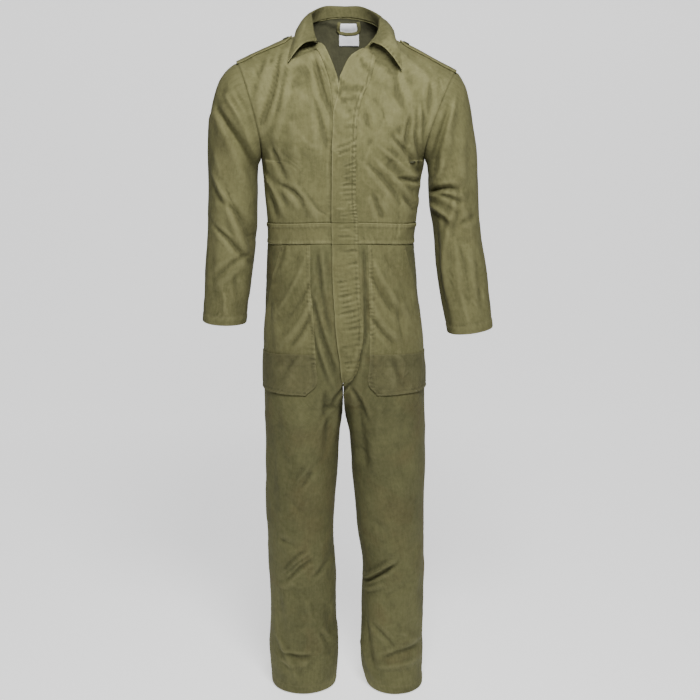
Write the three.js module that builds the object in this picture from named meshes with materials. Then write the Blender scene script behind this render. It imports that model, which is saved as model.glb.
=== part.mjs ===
import * as THREE from "three";

// Boiler suit, filled out as if worn and open at the neck.
// Millimetres, +Z up, the front faces -Y. The origin is between the shoulders, at the base of the neck.
// Right and left are the wearer's, so right is toward -X. "down" is a depth below the origin.

// Driving sizes
const CLOTH = 1.5; // one layer of cloth
const DOUBLED = 2.4; // two layers sewn together
const LABEL_CLOTH = 1;
const LABEL_LAY = 1.4; // behind the label, inside the hollow of the back
const SEAM_GAP = 0.3; // between two pieces at a seam
const LAY = 0.9; // under a piece that lies on a panel
const POCKET_LAY = 1.1;
const FLY_FOOT = 0.006; // height on the bodice at which the upper fly starts
const FLY_LIFT = 3.2; // under the free edge of the fly, over the button stand
const ARMPIT = 242; // down to the underarm point
const WAIST_TOP = 374;
const WAIST_BOTTOM = 422;
const CROTCH = 818;
const CROTCH_RISE = 120; // over which the body parts into two legs
const HEM = 1529;
const SQUARENESS = 0.05; // how much fuller than an ellipse a half ring is
const NECK_SHARE = 0.42; // part of the back's top edge that is neckline
const ARMHOLE_REACH = 0.727; // half depth of the armhole as a share of the chest's
const STRAP_HALF_WIDTH = 22;
const STRAP_BUTTON = { radius: 7.5, height: 3, inset: 13 };
const STAND_WIDTH = 19; // button stand

const FRONT = -1;
const BACK = 1;
const SIGN = { right: -1, left: 1 };

// Rings of the body and legs: half widths, inner edges of the legs, side seam's place and half depth,
// and how much lower the sides of the ring lie than its front.
const BODY = [
  { down: ARMPIT, right: 186, left: 186, rightIn: 0, leftIn: 0, middle: -8, depth: 121, dip: 0 },
  { down: 338, right: 177, left: 172, rightIn: 0, leftIn: 0, middle: -9, depth: 117, dip: 9 },
  { down: WAIST_TOP, right: 175, left: 166, rightIn: 0, leftIn: 0, middle: -9, depth: 113, dip: 12 },
  { down: WAIST_BOTTOM, right: 174, left: 162, rightIn: 0, leftIn: 0, middle: -8, depth: 114, dip: 12 },
  { down: 500, right: 177, left: 169, rightIn: 0, leftIn: 0, middle: -5, depth: 123, dip: 12 },
  { down: 571, right: 180, left: 179, rightIn: 0, leftIn: 0, middle: -3, depth: 129, dip: 13 },
  { down: 643, right: 184, left: 186, rightIn: 0, leftIn: 0, middle: -3, depth: 131, dip: 14 },
  { down: 715, right: 187, left: 190, rightIn: 0, leftIn: 0, middle: -4, depth: 130, dip: 12 },
  { down: CROTCH, right: 188, left: 192, rightIn: 0, leftIn: 0, middle: -6, depth: 122, dip: 0 },
  { down: 886, right: 185, left: 193, rightIn: 8, leftIn: 14, middle: -5, depth: 110, dip: 0 },
  { down: 985, right: 185, left: 194, rightIn: 14, leftIn: 21, middle: -4, depth: 100, dip: 0 },
  { down: 1060, right: 186, left: 194, rightIn: 20, leftIn: 29, middle: -4, depth: 94, dip: 0 },
  { down: 1136, right: 182, left: 195, rightIn: 22, leftIn: 38, middle: -5, depth: 89, dip: 0 },
  { down: 1213, right: 181, left: 196, rightIn: 20, leftIn: 46, middle: -2, depth: 86, dip: 0 },
  { down: 1316, right: 179, left: 194, rightIn: 17, leftIn: 44, middle: 2, depth: 83, dip: 0 },
  { down: 1421, right: 181, left: 193, rightIn: 13, leftIn: 42, middle: 6, depth: 80, dip: 0 },
  { down: 1487, right: 179, left: 193, rightIn: 15, leftIn: 46, middle: 8, depth: 79, dip: 0 },
  { down: HEM, right: 175, left: 194, rightIn: 21, leftIn: 57, middle: 8, depth: 78, dip: 0 },
];

// Rings of the sleeves, from the armhole to the cuff: the outer and inner point of each as seen
// from the front, its middle and half depth, and how far its front is skewed toward the chest.
const SLEEVE_RIGHT = [
  { ring: 0, outX: 240, outDown: 28, inX: 186, inDown: ARMPIT, middle: -8, depth: 88, skew: 0.17 },
  { ring: 1, outX: 263, outDown: 46, inX: 190, inDown: 248, middle: -7, depth: 86, skew: 0.13 },
  { ring: 2, outX: 281, outDown: 68, inX: 192, inDown: 255, middle: -6, depth: 83, skew: 0.09 },
  { ring: 3, outX: 294, outDown: 104, inX: 193, inDown: 264, middle: -4, depth: 80, skew: 0.05 },
  { ring: 4, outX: 302, outDown: 148, inX: 194, inDown: 276, middle: -2, depth: 77, skew: 0.02 },
  { ring: 5, outX: 307, outDown: 202, inX: 195, inDown: 294, middle: 1, depth: 74, skew: 0 },
  { ring: 6, outX: 309, outDown: 262, inX: 195, inDown: 322, middle: 4, depth: 72, skew: 0 },
  { ring: 7, outX: 310, outDown: 322, inX: 195, inDown: 356, middle: 7, depth: 70, skew: 0 },
  { ring: 8, outX: 312, outDown: 384, inX: 196, inDown: 398, middle: 7, depth: 68, skew: 0 },
  { ring: 9, outX: 316, outDown: 440, inX: 204, inDown: 448, middle: 1, depth: 66, skew: 0 },
  { ring: 10, outX: 319, outDown: 495, inX: 209, inDown: 500, middle: -9, depth: 63, skew: 0 },
  { ring: 11, outX: 323, outDown: 553, inX: 217, inDown: 557, middle: -22, depth: 60, skew: 0 },
  { ring: 12, outX: 326, outDown: 612, inX: 225, inDown: 616, middle: -36, depth: 57, skew: 0 },
];
const SLEEVE_LEFT = [
  { ring: 0, outX: 256, outDown: 48, inX: 186, inDown: ARMPIT, middle: -8, depth: 88, skew: 0.17 },
  { ring: 1, outX: 268, outDown: 66, inX: 190, inDown: 248, middle: -7, depth: 86, skew: 0.13 },
  { ring: 2, outX: 279, outDown: 89, inX: 192, inDown: 255, middle: -6, depth: 83, skew: 0.09 },
  { ring: 3, outX: 288, outDown: 128, inX: 193, inDown: 264, middle: -4, depth: 80, skew: 0.05 },
  { ring: 4, outX: 296, outDown: 172, inX: 194, inDown: 276, middle: -2, depth: 77, skew: 0.02 },
  { ring: 5, outX: 304, outDown: 222, inX: 194, inDown: 294, middle: 1, depth: 74, skew: 0 },
  { ring: 6, outX: 308, outDown: 282, inX: 194, inDown: 318, middle: 4, depth: 72, skew: 0 },
  { ring: 7, outX: 312, outDown: 338, inX: 197, inDown: 350, middle: 7, depth: 70, skew: 0 },
  { ring: 8, outX: 318, outDown: 398, inX: 208, inDown: 396, middle: 7, depth: 68, skew: 0 },
  { ring: 9, outX: 325, outDown: 452, inX: 213, inDown: 450, middle: 0, depth: 66, skew: 0 },
  { ring: 10, outX: 333, outDown: 510, inX: 218, inDown: 510, middle: -11, depth: 63, skew: 0 },
  { ring: 11, outX: 341, outDown: 568, inX: 226, inDown: 574, middle: -24, depth: 60, skew: 0 },
  { ring: 12, outX: 347, outDown: 625, inX: 242, inDown: 639, middle: -38, depth: 57, skew: 0 },
];
const SLEEVE = { right: SLEEVE_RIGHT, left: SLEEVE_LEFT };

// Free edge of each front from the armpit's level up the opening and around the neck to the
// shoulder seam, and the centre of the back. "rise" runs from 0 there to 1 at the shoulder.
const FRONT_EDGE = [
  { rise: 0, z: -ARMPIT, y: -129, right: 0, left: 0 },
  { rise: 0.2, z: -185, y: -127, right: 0, left: 0 },
  { rise: 0.4, z: -122, y: -117, right: 1, left: 2 },
  { rise: 0.55, z: -62, y: -101, right: 10, left: 9 },
  { rise: 0.63, z: -22, y: -87, right: 24, left: 25 },
  { rise: 0.7, z: 12, y: -72, right: 41, left: 52 },
  { rise: 0.8, z: 22, y: -48, right: 61, left: 68 },
  { rise: 0.9, z: 31, y: -22, right: 76, left: 79 },
  { rise: 1, z: 40, y: 2, right: 84, left: 84 },
];
const BACK_EDGE = [
  { rise: 0, z: -ARMPIT, y: 113 },
  { rise: 0.25, z: -165, y: 121 },
  { rise: 0.5, z: -80, y: 117 },
  { rise: 0.7, z: -15, y: 107 },
  { rise: 0.85, z: 32, y: 96 },
  { rise: 1, z: 70, y: 82 },
];

// Collar stations from the back centre (0) to each front end (1): where it rolls over,
// and its lower edge.
const COLLAR_RIGHT = [
  { round: 0, rollX: 0, rollY: 84, rollZ: 97, edgeX: 0, edgeY: 103, edgeZ: 44 },
  { round: 0.25, rollX: 42, rollY: 70, rollZ: 97, edgeX: 60, edgeY: 88, edgeZ: 43 },
  { round: 0.5, rollX: 69, rollY: 16, rollZ: 83, edgeX: 100, edgeY: 20, edgeZ: 46 },
  { round: 0.7, rollX: 68, rollY: -14, rollZ: 72, edgeX: 109, edgeY: -30, edgeZ: 27 },
  { round: 0.85, rollX: 64, rollY: -44, rollZ: 50, edgeX: 116, edgeY: -64, edgeZ: 4 },
  { round: 1, rollX: 59, rollY: -76, rollZ: 22, edgeX: 120, edgeY: -90, edgeZ: -24 },
];
const COLLAR_LEFT = [
  { round: 0, rollX: 0, rollY: 84, rollZ: 97, edgeX: 0, edgeY: 103, edgeZ: 44 },
  { round: 0.25, rollX: 42, rollY: 70, rollZ: 97, edgeX: 62, edgeY: 88, edgeZ: 43 },
  { round: 0.5, rollX: 80, rollY: 16, rollZ: 77, edgeX: 110, edgeY: 20, edgeZ: 46 },
  { round: 0.7, rollX: 81, rollY: -16, rollZ: 66, edgeX: 118, edgeY: -30, edgeZ: 24 },
  { round: 0.85, rollX: 77, rollY: -46, rollZ: 42, edgeX: 126, edgeY: -74, edgeZ: 0 },
  { round: 1, rollX: 60, rollY: -87, rollZ: 18, edgeX: 130, edgeY: -97, edgeZ: -41 },
];
const COLLAR = { right: COLLAR_RIGHT, left: COLLAR_LEFT };
const COLLAR_END = 0.75; // rise at which the collar starts on the neckline
const COLLAR_FOOT = 2.3; // above the neckline
const COLLAR_ARCH = { from: 0.55, height: 15, forward: 5 }; // of each front end, over the chest

// Fly flap on the left front: its free edge and its stitched side, both as x.
const FLY = [
  { down: -8, edge: 53, stitched: 70 },
  { down: 11, edge: 20, stitched: 70 },
  { down: 37, edge: 3, stitched: 67 },
  { down: 67, edge: -8, stitched: 57 },
  { down: 97, edge: -13, stitched: 44 },
  { down: 123, edge: -19, stitched: 37 },
  { down: 160, edge: -22, stitched: 32 },
  { down: 324, edge: -25, stitched: 29 },
  { down: WAIST_TOP, edge: -25, stitched: 34 },
  { down: WAIST_BOTTOM, edge: -24, stitched: 35 },
  { down: 527, edge: -22, stitched: 39 },
  { down: 607, edge: -17, stitched: 45 },
  { down: 672, edge: -10, stitched: 41 },
  { down: 714, edge: -4, stitched: 33 },
  { down: 736, edge: 0, stitched: 16 },
];
const CORNER_RISE = 0.7; // the corner between the opening and the neckline
const FLY_TOP_RISE = 0.68;

// Hip pockets: inner edge as x, from the waistband down to the rounded lower corner.
const POCKET = [
  { down: WAIST_BOTTOM, right: 73, left: 56 },
  { down: 526, right: 72, left: 59 },
  { down: 610, right: 65, left: 61 },
  { down: 700, right: 61, left: 59 },
  { down: 741, right: 60, left: 58 },
  { down: 766, right: 85, left: 80 },
];
const POCKET_BOTTOM = 766;
const POCKET_SLANT = { top: 138, end: 668 }; // hand opening: its x at the waistband, where it meets the side
const POCKET_PATCH_TOP = 671;
const SIDE_REACH = 0.975; // pieces on a trouser front stop just before the side seam

// Large soft folds, as seen from the front or back: ridges above 0, troughs below.
const FRONT_FOLDS = [
  { x1: -168, z1: -62, x2: -196, z2: -178, width: 15, height: -7 },
  { x1: -150, z1: -214, x2: -104, z2: -330, width: 17, height: -4 },
  { x1: 138, z1: -216, x2: 172, z2: -300, width: 14, height: -5 },
  { x1: 92, z1: -262, x2: 158, z2: -340, width: 17, height: -4 },
  { x1: -292, z1: -140, x2: -212, z2: -330, width: 17, height: -7 },
  { x1: -300, z1: -330, x2: -224, z2: -440, width: 17, height: -7 },
  { x1: 296, z1: -300, x2: 214, z2: -372, width: 16, height: -8 },
  { x1: 300, z1: -420, x2: 232, z2: -500, width: 17, height: -4 },
  { x1: -136, z1: -1196, x2: -72, z2: -1152, width: 17, height: -5 },
  { x1: 66, z1: -1236, x2: 132, z2: -1192, width: 17, height: -5 },
  { x1: 76, z1: -1430, x2: 158, z2: -1400, width: 18, height: -6 },
];
const BACK_FOLDS = [
  { x1: -150, z1: -190, x2: -110, z2: -330, width: 18, height: -5 },
  { x1: 150, z1: -200, x2: 112, z2: -335, width: 18, height: -5 },
  { x1: -296, z1: -330, x2: -222, z2: -395, width: 17, height: -6 },
  { x1: 300, z1: -340, x2: 228, z2: -402, width: 17, height: -6 },
  { x1: -140, z1: -800, x2: -46, z2: -842, width: 20, height: -5 },
  { x1: 146, z1: -806, x2: 50, z2: -846, width: 20, height: -5 },
  { x1: -150, z1: -1130, x2: -60, z2: -1150, width: 18, height: -5 },
  { x1: 160, z1: -1146, x2: 74, z2: -1166, width: 18, height: -5 },
];

const OLIVE = new THREE.MeshStandardMaterial({ color: 0x6d6a45, roughness: 0.92, metalness: 0 });
const OLIVE_PATCH = new THREE.MeshStandardMaterial({ color: 0x76734c, roughness: 0.92, metalness: 0 });
const LABEL_WHITE = new THREE.MeshStandardMaterial({ color: 0xd8d6c8, roughness: 0.8, metalness: 0 });
const BUTTON_GREEN = new THREE.MeshStandardMaterial({ color: 0x3c3d2a, roughness: 0.45, metalness: 0 });

const clamp = (value, low, high) => Math.min(Math.max(value, low), high);
const mix = (a, b, share) => a + (b - a) * share;

function smooth(value) {
  const t = clamp(value, 0, 1);
  return t * t * (3 - 2 * t);
}

// Reads one column of a table at a place along its key column, smoothly between the rows.
function read(rows, key, name, at) {
  const last = rows.length - 1;
  const slope = (i) => {
    const low = rows[Math.max(i - 1, 0)];
    const high = rows[Math.min(i + 1, last)];
    return (high[name] - low[name]) / (high[key] - low[key]);
  };
  let i = 0;
  while (i < last - 1 && rows[i + 1][key] < at) i += 1;
  const span = rows[i + 1][key] - rows[i][key];
  const t = clamp((at - rows[i][key]) / span, 0, 1);
  const fromLow = (1 + 2 * t) * (1 - t) ** 2 * rows[i][name] + t * (1 - t) ** 2 * span * slope(i);
  const fromHigh = t * t * (3 - 2 * t) * rows[i + 1][name] + t * t * (t - 1) * span * slope(i + 1);
  return fromLow + fromHigh;
}

// A point of the trousers, or of the bodice below the armpits.
// across runs from the centre or inner seam (0) to the side seam (1).
function bodyPoint(side, face, across, down) {
  const outer = read(BODY, "down", side, down);
  const inner = down > CROTCH ? read(BODY, "down", side + "In", down) : 0;
  const parting = clamp((down - CROTCH + CROTCH_RISE) / CROTCH_RISE, 0, 1);
  const half = down > CROTCH ? (outer - inner) / 2 : outer / (1 + parting);
  const start = -Math.asin(parting);
  const angle = mix(start, Math.PI / 2, across);
  const fullness = 1 + SQUARENESS * Math.sin(Math.PI * across) ** 2;
  const x = outer - half + half * Math.sin(angle) * fullness;
  const y = read(BODY, "down", "middle", down)
    + face * read(BODY, "down", "depth", down) * Math.cos(angle) * fullness;
  const z = -down - read(BODY, "down", "dip", down) * Math.sin(angle) ** 2;
  return new THREE.Vector3(SIGN[side] * x, y, z);
}

// A point of a sleeve. turn runs from the underarm (0) around the front to the outer side (pi).
function sleevePoint(side, ring, turn) {
  const at = (name) => read(SLEEVE[side], "ring", name, ring);
  const toOuter = (1 - Math.cos(turn)) / 2;
  const forward = at("depth") * Math.sin(turn);
  const x = mix(at("inX"), at("outX"), toOuter) - at("skew") * forward;
  const z = -mix(at("inDown"), at("outDown"), toOuter);
  return new THREE.Vector3(SIGN[side] * x, at("middle") - forward, z);
}

// The way out of the body through the flat ring of an armhole.
function armholeNormal(side) {
  const pit = sleevePoint(side, 0, 0);
  const toTip = sleevePoint(side, 0, Math.PI).sub(pit);
  const toFront = sleevePoint(side, 0, Math.PI / 2).sub(sleevePoint(side, 0, -Math.PI / 2));
  return toTip.cross(toFront).normalize().multiplyScalar(SIGN[side]);
}

// Shapes of the top edges, as shares of the way from the centre to the shoulder tip.
function topEdge(side, face, across) {
  if (face === FRONT) return { x: across, y: across, z: across };
  const tip = sleevePoint(side, 0, Math.PI);
  const centre = BACK_EDGE.at(-1);
  const neck = FRONT_EDGE.at(-1);
  const round = clamp(across / NECK_SHARE, 0, 1) * (Math.PI / 2);
  const along = clamp((across - NECK_SHARE) / (1 - NECK_SHARE), 0, 1);
  const x = mix(neck[side] * Math.sin(round), Math.abs(tip.x), along);
  const y = mix(mix(centre.y, neck.y, 1 - Math.cos(round)), tip.y, along);
  const z = mix(mix(centre.z, neck.z, 1 - Math.cos(round)), tip.z, along);
  return { x: x / Math.abs(tip.x), y: (centre.y - y) / (centre.y - tip.y), z: (centre.z - z) / (centre.z - tip.z) };
}

// A point of the bodice. height runs from the waist (0) to the armpits (1) and the shoulder seam (2).
function bodicePoint(side, face, across, height) {
  if (height <= 1) return bodyPoint(side, face, across, mix(WAIST_TOP, ARMPIT, height));
  const turn = Math.PI * (height - 1);
  const rise = (1 - Math.cos(turn)) / 2;
  const edge = face === FRONT ? FRONT_EDGE : BACK_EDGE;
  const startX = face === FRONT ? read(edge, "rise", side, rise) : 0;
  const start = new THREE.Vector3(SIGN[side] * startX, read(edge, "rise", "y", rise), read(edge, "rise", "z", rise));
  const reach = sleevePoint(side, 0, -face * turn).sub(start);
  const flattening = smooth(rise / 0.5);
  const arc = Math.acos(ARMHOLE_REACH * Math.sin(Math.min(turn, Math.PI / 2)));
  const top = topEdge(side, face, across);
  const toTop = smooth((turn / Math.PI - 0.45) / 0.55);
  const sideways = mix(Math.sin(arc * across) / Math.sin(arc), top.x, toTop);
  const inDepth = mix((1 - Math.cos(arc * across)) / (1 - Math.cos(arc)), top.y, toTop);
  const inHeight = mix(across * across, top.z, toTop);
  const point = start.add(new THREE.Vector3(reach.x * sideways, reach.y * inDepth, reach.z * inHeight));
  const extra = SQUARENESS * (1 - flattening) * Math.sin(Math.PI * across) ** 2;
  point.x += point.x * extra;
  point.y += (point.y - BODY[0].middle) * extra;
  return point;
}

// How far the folds move the cloth out at a place seen from the front or back.
function foldHeight(folds, x, z) {
  let height = 0;
  for (const fold of folds) {
    const alongX = fold.x2 - fold.x1;
    const alongZ = fold.z2 - fold.z1;
    const length = Math.hypot(alongX, alongZ);
    const along = ((x - fold.x1) * alongX + (z - fold.z1) * alongZ) / length;
    const off = ((x - fold.x1) * alongZ - (z - fold.z1) * alongX) / length;
    const past = Math.max(Math.abs(along - length / 2) - length / 3, 0) / (length / 4);
    height += fold.height * Math.exp(-((off / fold.width) ** 2) - past * past);
  }
  return height;
}

// Moves the points of a surface by its folds, along its own outward direction.
function withFolds(surface, folds, inside) {
  const step = 0.01;
  return (across, along) => {
    const point = surface(across, along);
    const height = foldHeight(folds, point.x, point.z);
    if (Math.abs(height) < 0.01) return point;
    const sideways = surface(across + step, along).sub(surface(across - step, along));
    const lengthways = surface(across, along + step).sub(surface(across, along - step));
    const normal = sideways.cross(lengthways).normalize();
    if (normal.dot(point.clone().sub(inside)) < 0) normal.negate();
    return point.addScaledVector(normal, height);
  };
}

const CHEST_INSIDE = new THREE.Vector3(0, 0, -260);
const folds = (face) => (face === FRONT ? FRONT_FOLDS : BACK_FOLDS);

const bodice = (side, face) =>
  withFolds((across, height) => bodicePoint(side, face, across, height), folds(face), CHEST_INSIDE);

// The trousers are sampled along in metres below the origin, so one step suits both directions.
const trousers = (side, face) => {
  const inside = new THREE.Vector3(SIGN[side] * 95, 0, -900);
  const surface = withFolds((across, metres) => bodyPoint(side, face, across, metres * 1000), folds(face), inside);
  return (across, down) => surface(across, down / 1000);
};

const sleeve = (side) => (ring, turn) => {
  const face = Math.sin(turn) > 0 ? FRONT : BACK;
  const point = sleevePoint(side, ring, turn);
  const centre = sleevePoint(side, ring, 0).add(sleevePoint(side, ring, Math.PI)).multiplyScalar(0.5);
  const height = foldHeight(folds(face), point.x, point.z) * Math.abs(Math.sin(turn)) * smooth(ring / 3);
  return point.addScaledVector(point.clone().sub(centre).normalize(), height);
};

// Where a row of a surface reaches a sideways place, found by halving.
function acrossAt(surface, along, x, side) {
  let low = -0.4;
  let high = 1;
  for (let i = 0; i < 24; i += 1) {
    const half = (low + high) / 2;
    if (SIGN[side] * surface(half, along).x < x) low = half;
    else high = half;
  }
  return (low + high) / 2;
}

// A closed wall over a grid of points, from lift to lift + thickness outside them.
// seams(i, j) lists the directions in which a grid point meets another piece.
function wall({ rows, columns, point, inside, lift = () => -CLOTH, thickness = CLOTH, seams = () => [], tube = false }) {
  const lines = tube ? columns : columns + 1;
  const grid = [];
  for (let i = 0; i <= rows; i += 1) {
    grid.push(Array.from({ length: lines }, (_, j) => point(i, j)));
  }
  const at = (i, j) => grid[clamp(i, 0, rows)][tube ? (j + lines) % lines : clamp(j, 0, lines - 1)];
  const normalAt = (i, j) => {
    const alongRows = at(i + 1, j).clone().sub(at(i - 1, j));
    const alongLines = at(i, j + 1).clone().sub(at(i, j - 1));
    return alongRows.cross(alongLines).normalize();
  };
  const middle = [Math.round(rows / 2), Math.round(columns / 2)];
  const sense = Math.sign(normalAt(...middle).dot(at(...middle).clone().sub(inside)));
  const outer = [];
  const inner = [];
  for (let i = 0; i <= rows; i += 1) {
    for (let j = 0; j < lines; j += 1) {
      const normal = normalAt(i, j).multiplyScalar(sense);
      const base = at(i, j).clone();
      for (const way of seams(i, j)) {
        normal.addScaledVector(way, -Math.min(normal.dot(way), 0)).normalize();
        base.addScaledVector(way, -SEAM_GAP / 2);
      }
      inner.push(base.clone().addScaledVector(normal, lift(i, j)));
      outer.push(base.clone().addScaledVector(normal, lift(i, j) + thickness));
    }
  }
  return closedGeometry(outer, inner, rows, columns, lines, tube, sense);
}

// Joins an outer and an inner grid of points into one closed body.
function closedGeometry(outer, inner, rows, columns, lines, tube, sense) {
  const total = outer.length;
  const triangles = [];
  const quad = (a, b, c, d) => triangles.push([a, b, c], [a, c, d]);
  const index = (i, j) => i * lines + (j % lines);
  for (let i = 0; i < rows; i += 1) {
    for (let j = 0; j < columns; j += 1) {
      quad(index(i, j), index(i + 1, j), index(i + 1, j + 1), index(i, j + 1));
      quad(total + index(i, j), total + index(i, j + 1), total + index(i + 1, j + 1), total + index(i + 1, j));
    }
  }
  for (let j = 0; j < columns; j += 1) {
    quad(index(0, j), index(0, j + 1), total + index(0, j + 1), total + index(0, j));
    quad(index(rows, j), total + index(rows, j), total + index(rows, j + 1), index(rows, j + 1));
  }
  for (let i = 0; i < rows && !tube; i += 1) {
    quad(index(i, 0), total + index(i, 0), total + index(i + 1, 0), index(i + 1, 0));
    quad(index(i, columns), index(i + 1, columns), total + index(i + 1, columns), total + index(i, columns));
  }
  const facing = sense > 0 ? triangles : triangles.map(([a, b, c]) => [a, c, b]);
  const geometry = new THREE.BufferGeometry();
  const positions = [...outer, ...inner].flatMap((corner) => corner.toArray());
  geometry.setAttribute("position", new THREE.Float32BufferAttribute(positions, 3));
  geometry.setIndex(facing.flat());
  geometry.computeVertexNormals();
  return geometry;
}

const suit = new THREE.Group();

function add(name, geometry, material = OLIVE) {
  const mesh = new THREE.Mesh(geometry, material);
  mesh.name = name;
  suit.add(mesh);
  return mesh;
}

const UP = new THREE.Vector3(0, 0, 1);
const DOWN = new THREE.Vector3(0, 0, -1);
const toward = (face) => new THREE.Vector3(0, face, 0);
const inward = (side) => new THREE.Vector3(-SIGN[side], 0, 0);

// The height on the bodice at which its free edges have a given rise.
const heightOf = (rise) => 1 + Math.acos(1 - 2 * rise) / Math.PI;

// Rows of the bodice: even to the armpit, then even around the armhole, with one at the corner.
const BODICE_ROWS = [0, 0.25, 0.5, 0.75, 1];
const ARMHOLE_STEPS = 12;
for (let i = 1; i <= ARMHOLE_STEPS; i += 1) BODICE_ROWS.push(1 + i / ARMHOLE_STEPS);
BODICE_ROWS.push(heightOf(CORNER_RISE));
BODICE_ROWS.sort((a, b) => a - b);

function addFront(side) {
  const columns = 8;
  const surface = bodice(side, FRONT);
  const rows = BODICE_ROWS.length - 1;
  const seams = (i, j) => {
    const ways = [];
    if (i === 0) ways.push(DOWN);
    if (i === rows) ways.push(toward(BACK));
    if (j === 0) ways.push(inward(side));
    if (j === columns && BODICE_ROWS[i] <= 1) ways.push(toward(BACK));
    if (j === columns && BODICE_ROWS[i] >= 1) ways.push(armholeNormal(side));
    return ways;
  };
  const point = (i, j) => surface(j / columns, BODICE_ROWS[i]);
  add(`front_${side}`, wall({ rows, columns, point, inside: CHEST_INSIDE, seams }));
}

function addBack() {
  const half = 12;
  const columns = 2 * half;
  const rows = BODICE_ROWS.length - 1;
  const surfaces = { right: bodice("right", BACK), left: bodice("left", BACK) };
  const sideAt = (j) => (j < half ? "right" : "left");
  const neckColumns = 6;
  const acrossOf = (j) => {
    const column = Math.abs(j - half);
    if (column <= neckColumns) return (NECK_SHARE * column) / neckColumns;
    return mix(NECK_SHARE, 1, (column - neckColumns) / (half - neckColumns));
  };
  const seams = (i, j) => {
    const ways = [];
    const atSide = j === 0 || j === columns;
    if (i === 0) ways.push(DOWN);
    if (i === rows && acrossOf(j) >= NECK_SHARE) ways.push(toward(FRONT));
    if (atSide && BODICE_ROWS[i] <= 1) ways.push(toward(FRONT));
    if (atSide && BODICE_ROWS[i] >= 1) ways.push(armholeNormal(sideAt(j)));
    return ways;
  };
  const point = (i, j) => surfaces[sideAt(j)](acrossOf(j), BODICE_ROWS[i]);
  add("back", wall({ rows, columns, point, inside: CHEST_INSIDE, seams }));
}

function addSleeve(side) {
  const columns = 20;
  const rings = [0, 0.5, 1, 2, 3, 4, 5, 6, 7, 7.5, 8, 8.5, 9, 10, 11, 12];
  const surface = sleeve(side);
  const way = armholeNormal(side).negate();
  const seams = (i) => (i === 0 ? [way] : []);
  const point = (i, j) => surface(rings[i], (2 * Math.PI * j) / columns);
  const inside = new THREE.Vector3(SIGN[side] * 255, 0, -360);
  add(`sleeve_${side}`, wall({ rows: rings.length - 1, columns, point, inside, seams, tube: true }));
}

// Rows of the trousers: hips, the stretch where the legs part, and the legs.
const TROUSER_ROWS = [];
for (let i = 0; i < 5; i += 1) TROUSER_ROWS.push(mix(WAIST_BOTTOM, CROTCH - CROTCH_RISE, i / 5));
for (let i = 8; i > 0; i -= 1) TROUSER_ROWS.push(CROTCH - CROTCH_RISE * (i / 8) ** 2);
for (let i = 0; i <= 15; i += 1) TROUSER_ROWS.push(mix(CROTCH, HEM, i / 15));

function addTrouserPanel(name, side, face) {
  const columns = 8;
  const surface = trousers(side, face);
  const seams = (i, j) => {
    const down = TROUSER_ROWS[i];
    const ways = [];
    if (i === 0) ways.push(UP);
    if (j === 0 && down <= CROTCH) ways.push(inward(side));
    if (j === 0 && down >= CROTCH) ways.push(toward(-face));
    if (j === columns) ways.push(toward(-face));
    return ways;
  };
  const point = (i, j) => surface(j / columns, TROUSER_ROWS[i]);
  const inside = new THREE.Vector3(SIGN[side] * 95, 0, -TROUSER_ROWS[14]);
  add(name, wall({ rows: TROUSER_ROWS.length - 1, columns, point, inside, seams }));
}

function addWaistband(name, sides, face) {
  const half = 8;
  const columns = half * sides.length;
  const rows = 2;
  const sideAt = (j) => (sides.length === 1 || j < half ? sides[0] : sides[1]);
  const acrossOf = (j) => (sides.length === 1 ? j / half : Math.abs(j - half) / half);
  const seams = (i, j) => {
    const ways = [];
    if (i === 0) ways.push(UP);
    if (i === rows) ways.push(DOWN);
    if (acrossOf(j) === 0 && sides.length === 1) ways.push(inward(sides[0]));
    if (acrossOf(j) === 1) ways.push(toward(-face));
    return ways;
  };
  const point = (i, j) => bodyPoint(sideAt(j), face, acrossOf(j), mix(WAIST_TOP, WAIST_BOTTOM, i / rows));
  const inside = new THREE.Vector3(0, 0, -WAIST_TOP);
  add(name, wall({ rows, columns, point, inside, seams }));
}

// Neckline from the back centre (0) to the front end of the collar (1).
function neckline(side, round) {
  const backShare = 0.5;
  if (round <= backShare) return bodicePoint(side, BACK, (NECK_SHARE * round) / backShare, 2);
  const height = mix(2, heightOf(COLLAR_END), (round - backShare) / (1 - backShare));
  return bodicePoint(side, FRONT, 0, height);
}

// One section across the collar: up the stand, over the roll and down the fall.
function collarPoint(side, round, t) {
  const at = (name) => read(COLLAR[side], "round", name, round);
  const foot = neckline(side, round);
  const roll = new THREE.Vector3(SIGN[side] * at("rollX"), at("rollY"), at("rollZ"));
  const edge = new THREE.Vector3(SIGN[side] * at("edgeX"), at("edgeY"), at("edgeZ"));
  const up = roll.clone().sub(foot).normalize();
  const out = edge.clone().sub(foot);
  out.addScaledVector(up, -out.dot(up)).normalize();
  const start = foot.clone().addScaledVector(up, COLLAR_FOOT);
  const turnIn = roll.clone().addScaledVector(up, -4).addScaledVector(out, -1);
  const turnOut = roll.clone().addScaledVector(up, -4).addScaledVector(out, 7);
  const places = [start, start.clone().lerp(turnIn, 0.5), turnIn, roll.clone().addScaledVector(out, 3), turnOut];
  for (const share of [0.33, 0.67, 1]) places.push(turnOut.clone().lerp(edge, share));
  const arch = smooth((round - COLLAR_ARCH.from) / (1 - COLLAR_ARCH.from));
  const lifted = new THREE.Vector3(0, -COLLAR_ARCH.forward, COLLAR_ARCH.height).multiplyScalar(arch);
  places[4].addScaledVector(lifted, 0.35);
  places[5].addScaledVector(out, 2).addScaledVector(up, 2).add(lifted);
  places[6].addScaledVector(out, 2).addScaledVector(up, 2).addScaledVector(lifted, 0.75);
  return places[t];
}

function addCollar() {
  const half = 12;
  const columns = 2 * half;
  const point = (i, j) => collarPoint(j < half ? "right" : "left", Math.abs(j - half) / half, i);
  const inside = new THREE.Vector3(0, 60, 30);
  add("collar", wall({ rows: 7, columns, point, inside }));
}

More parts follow.
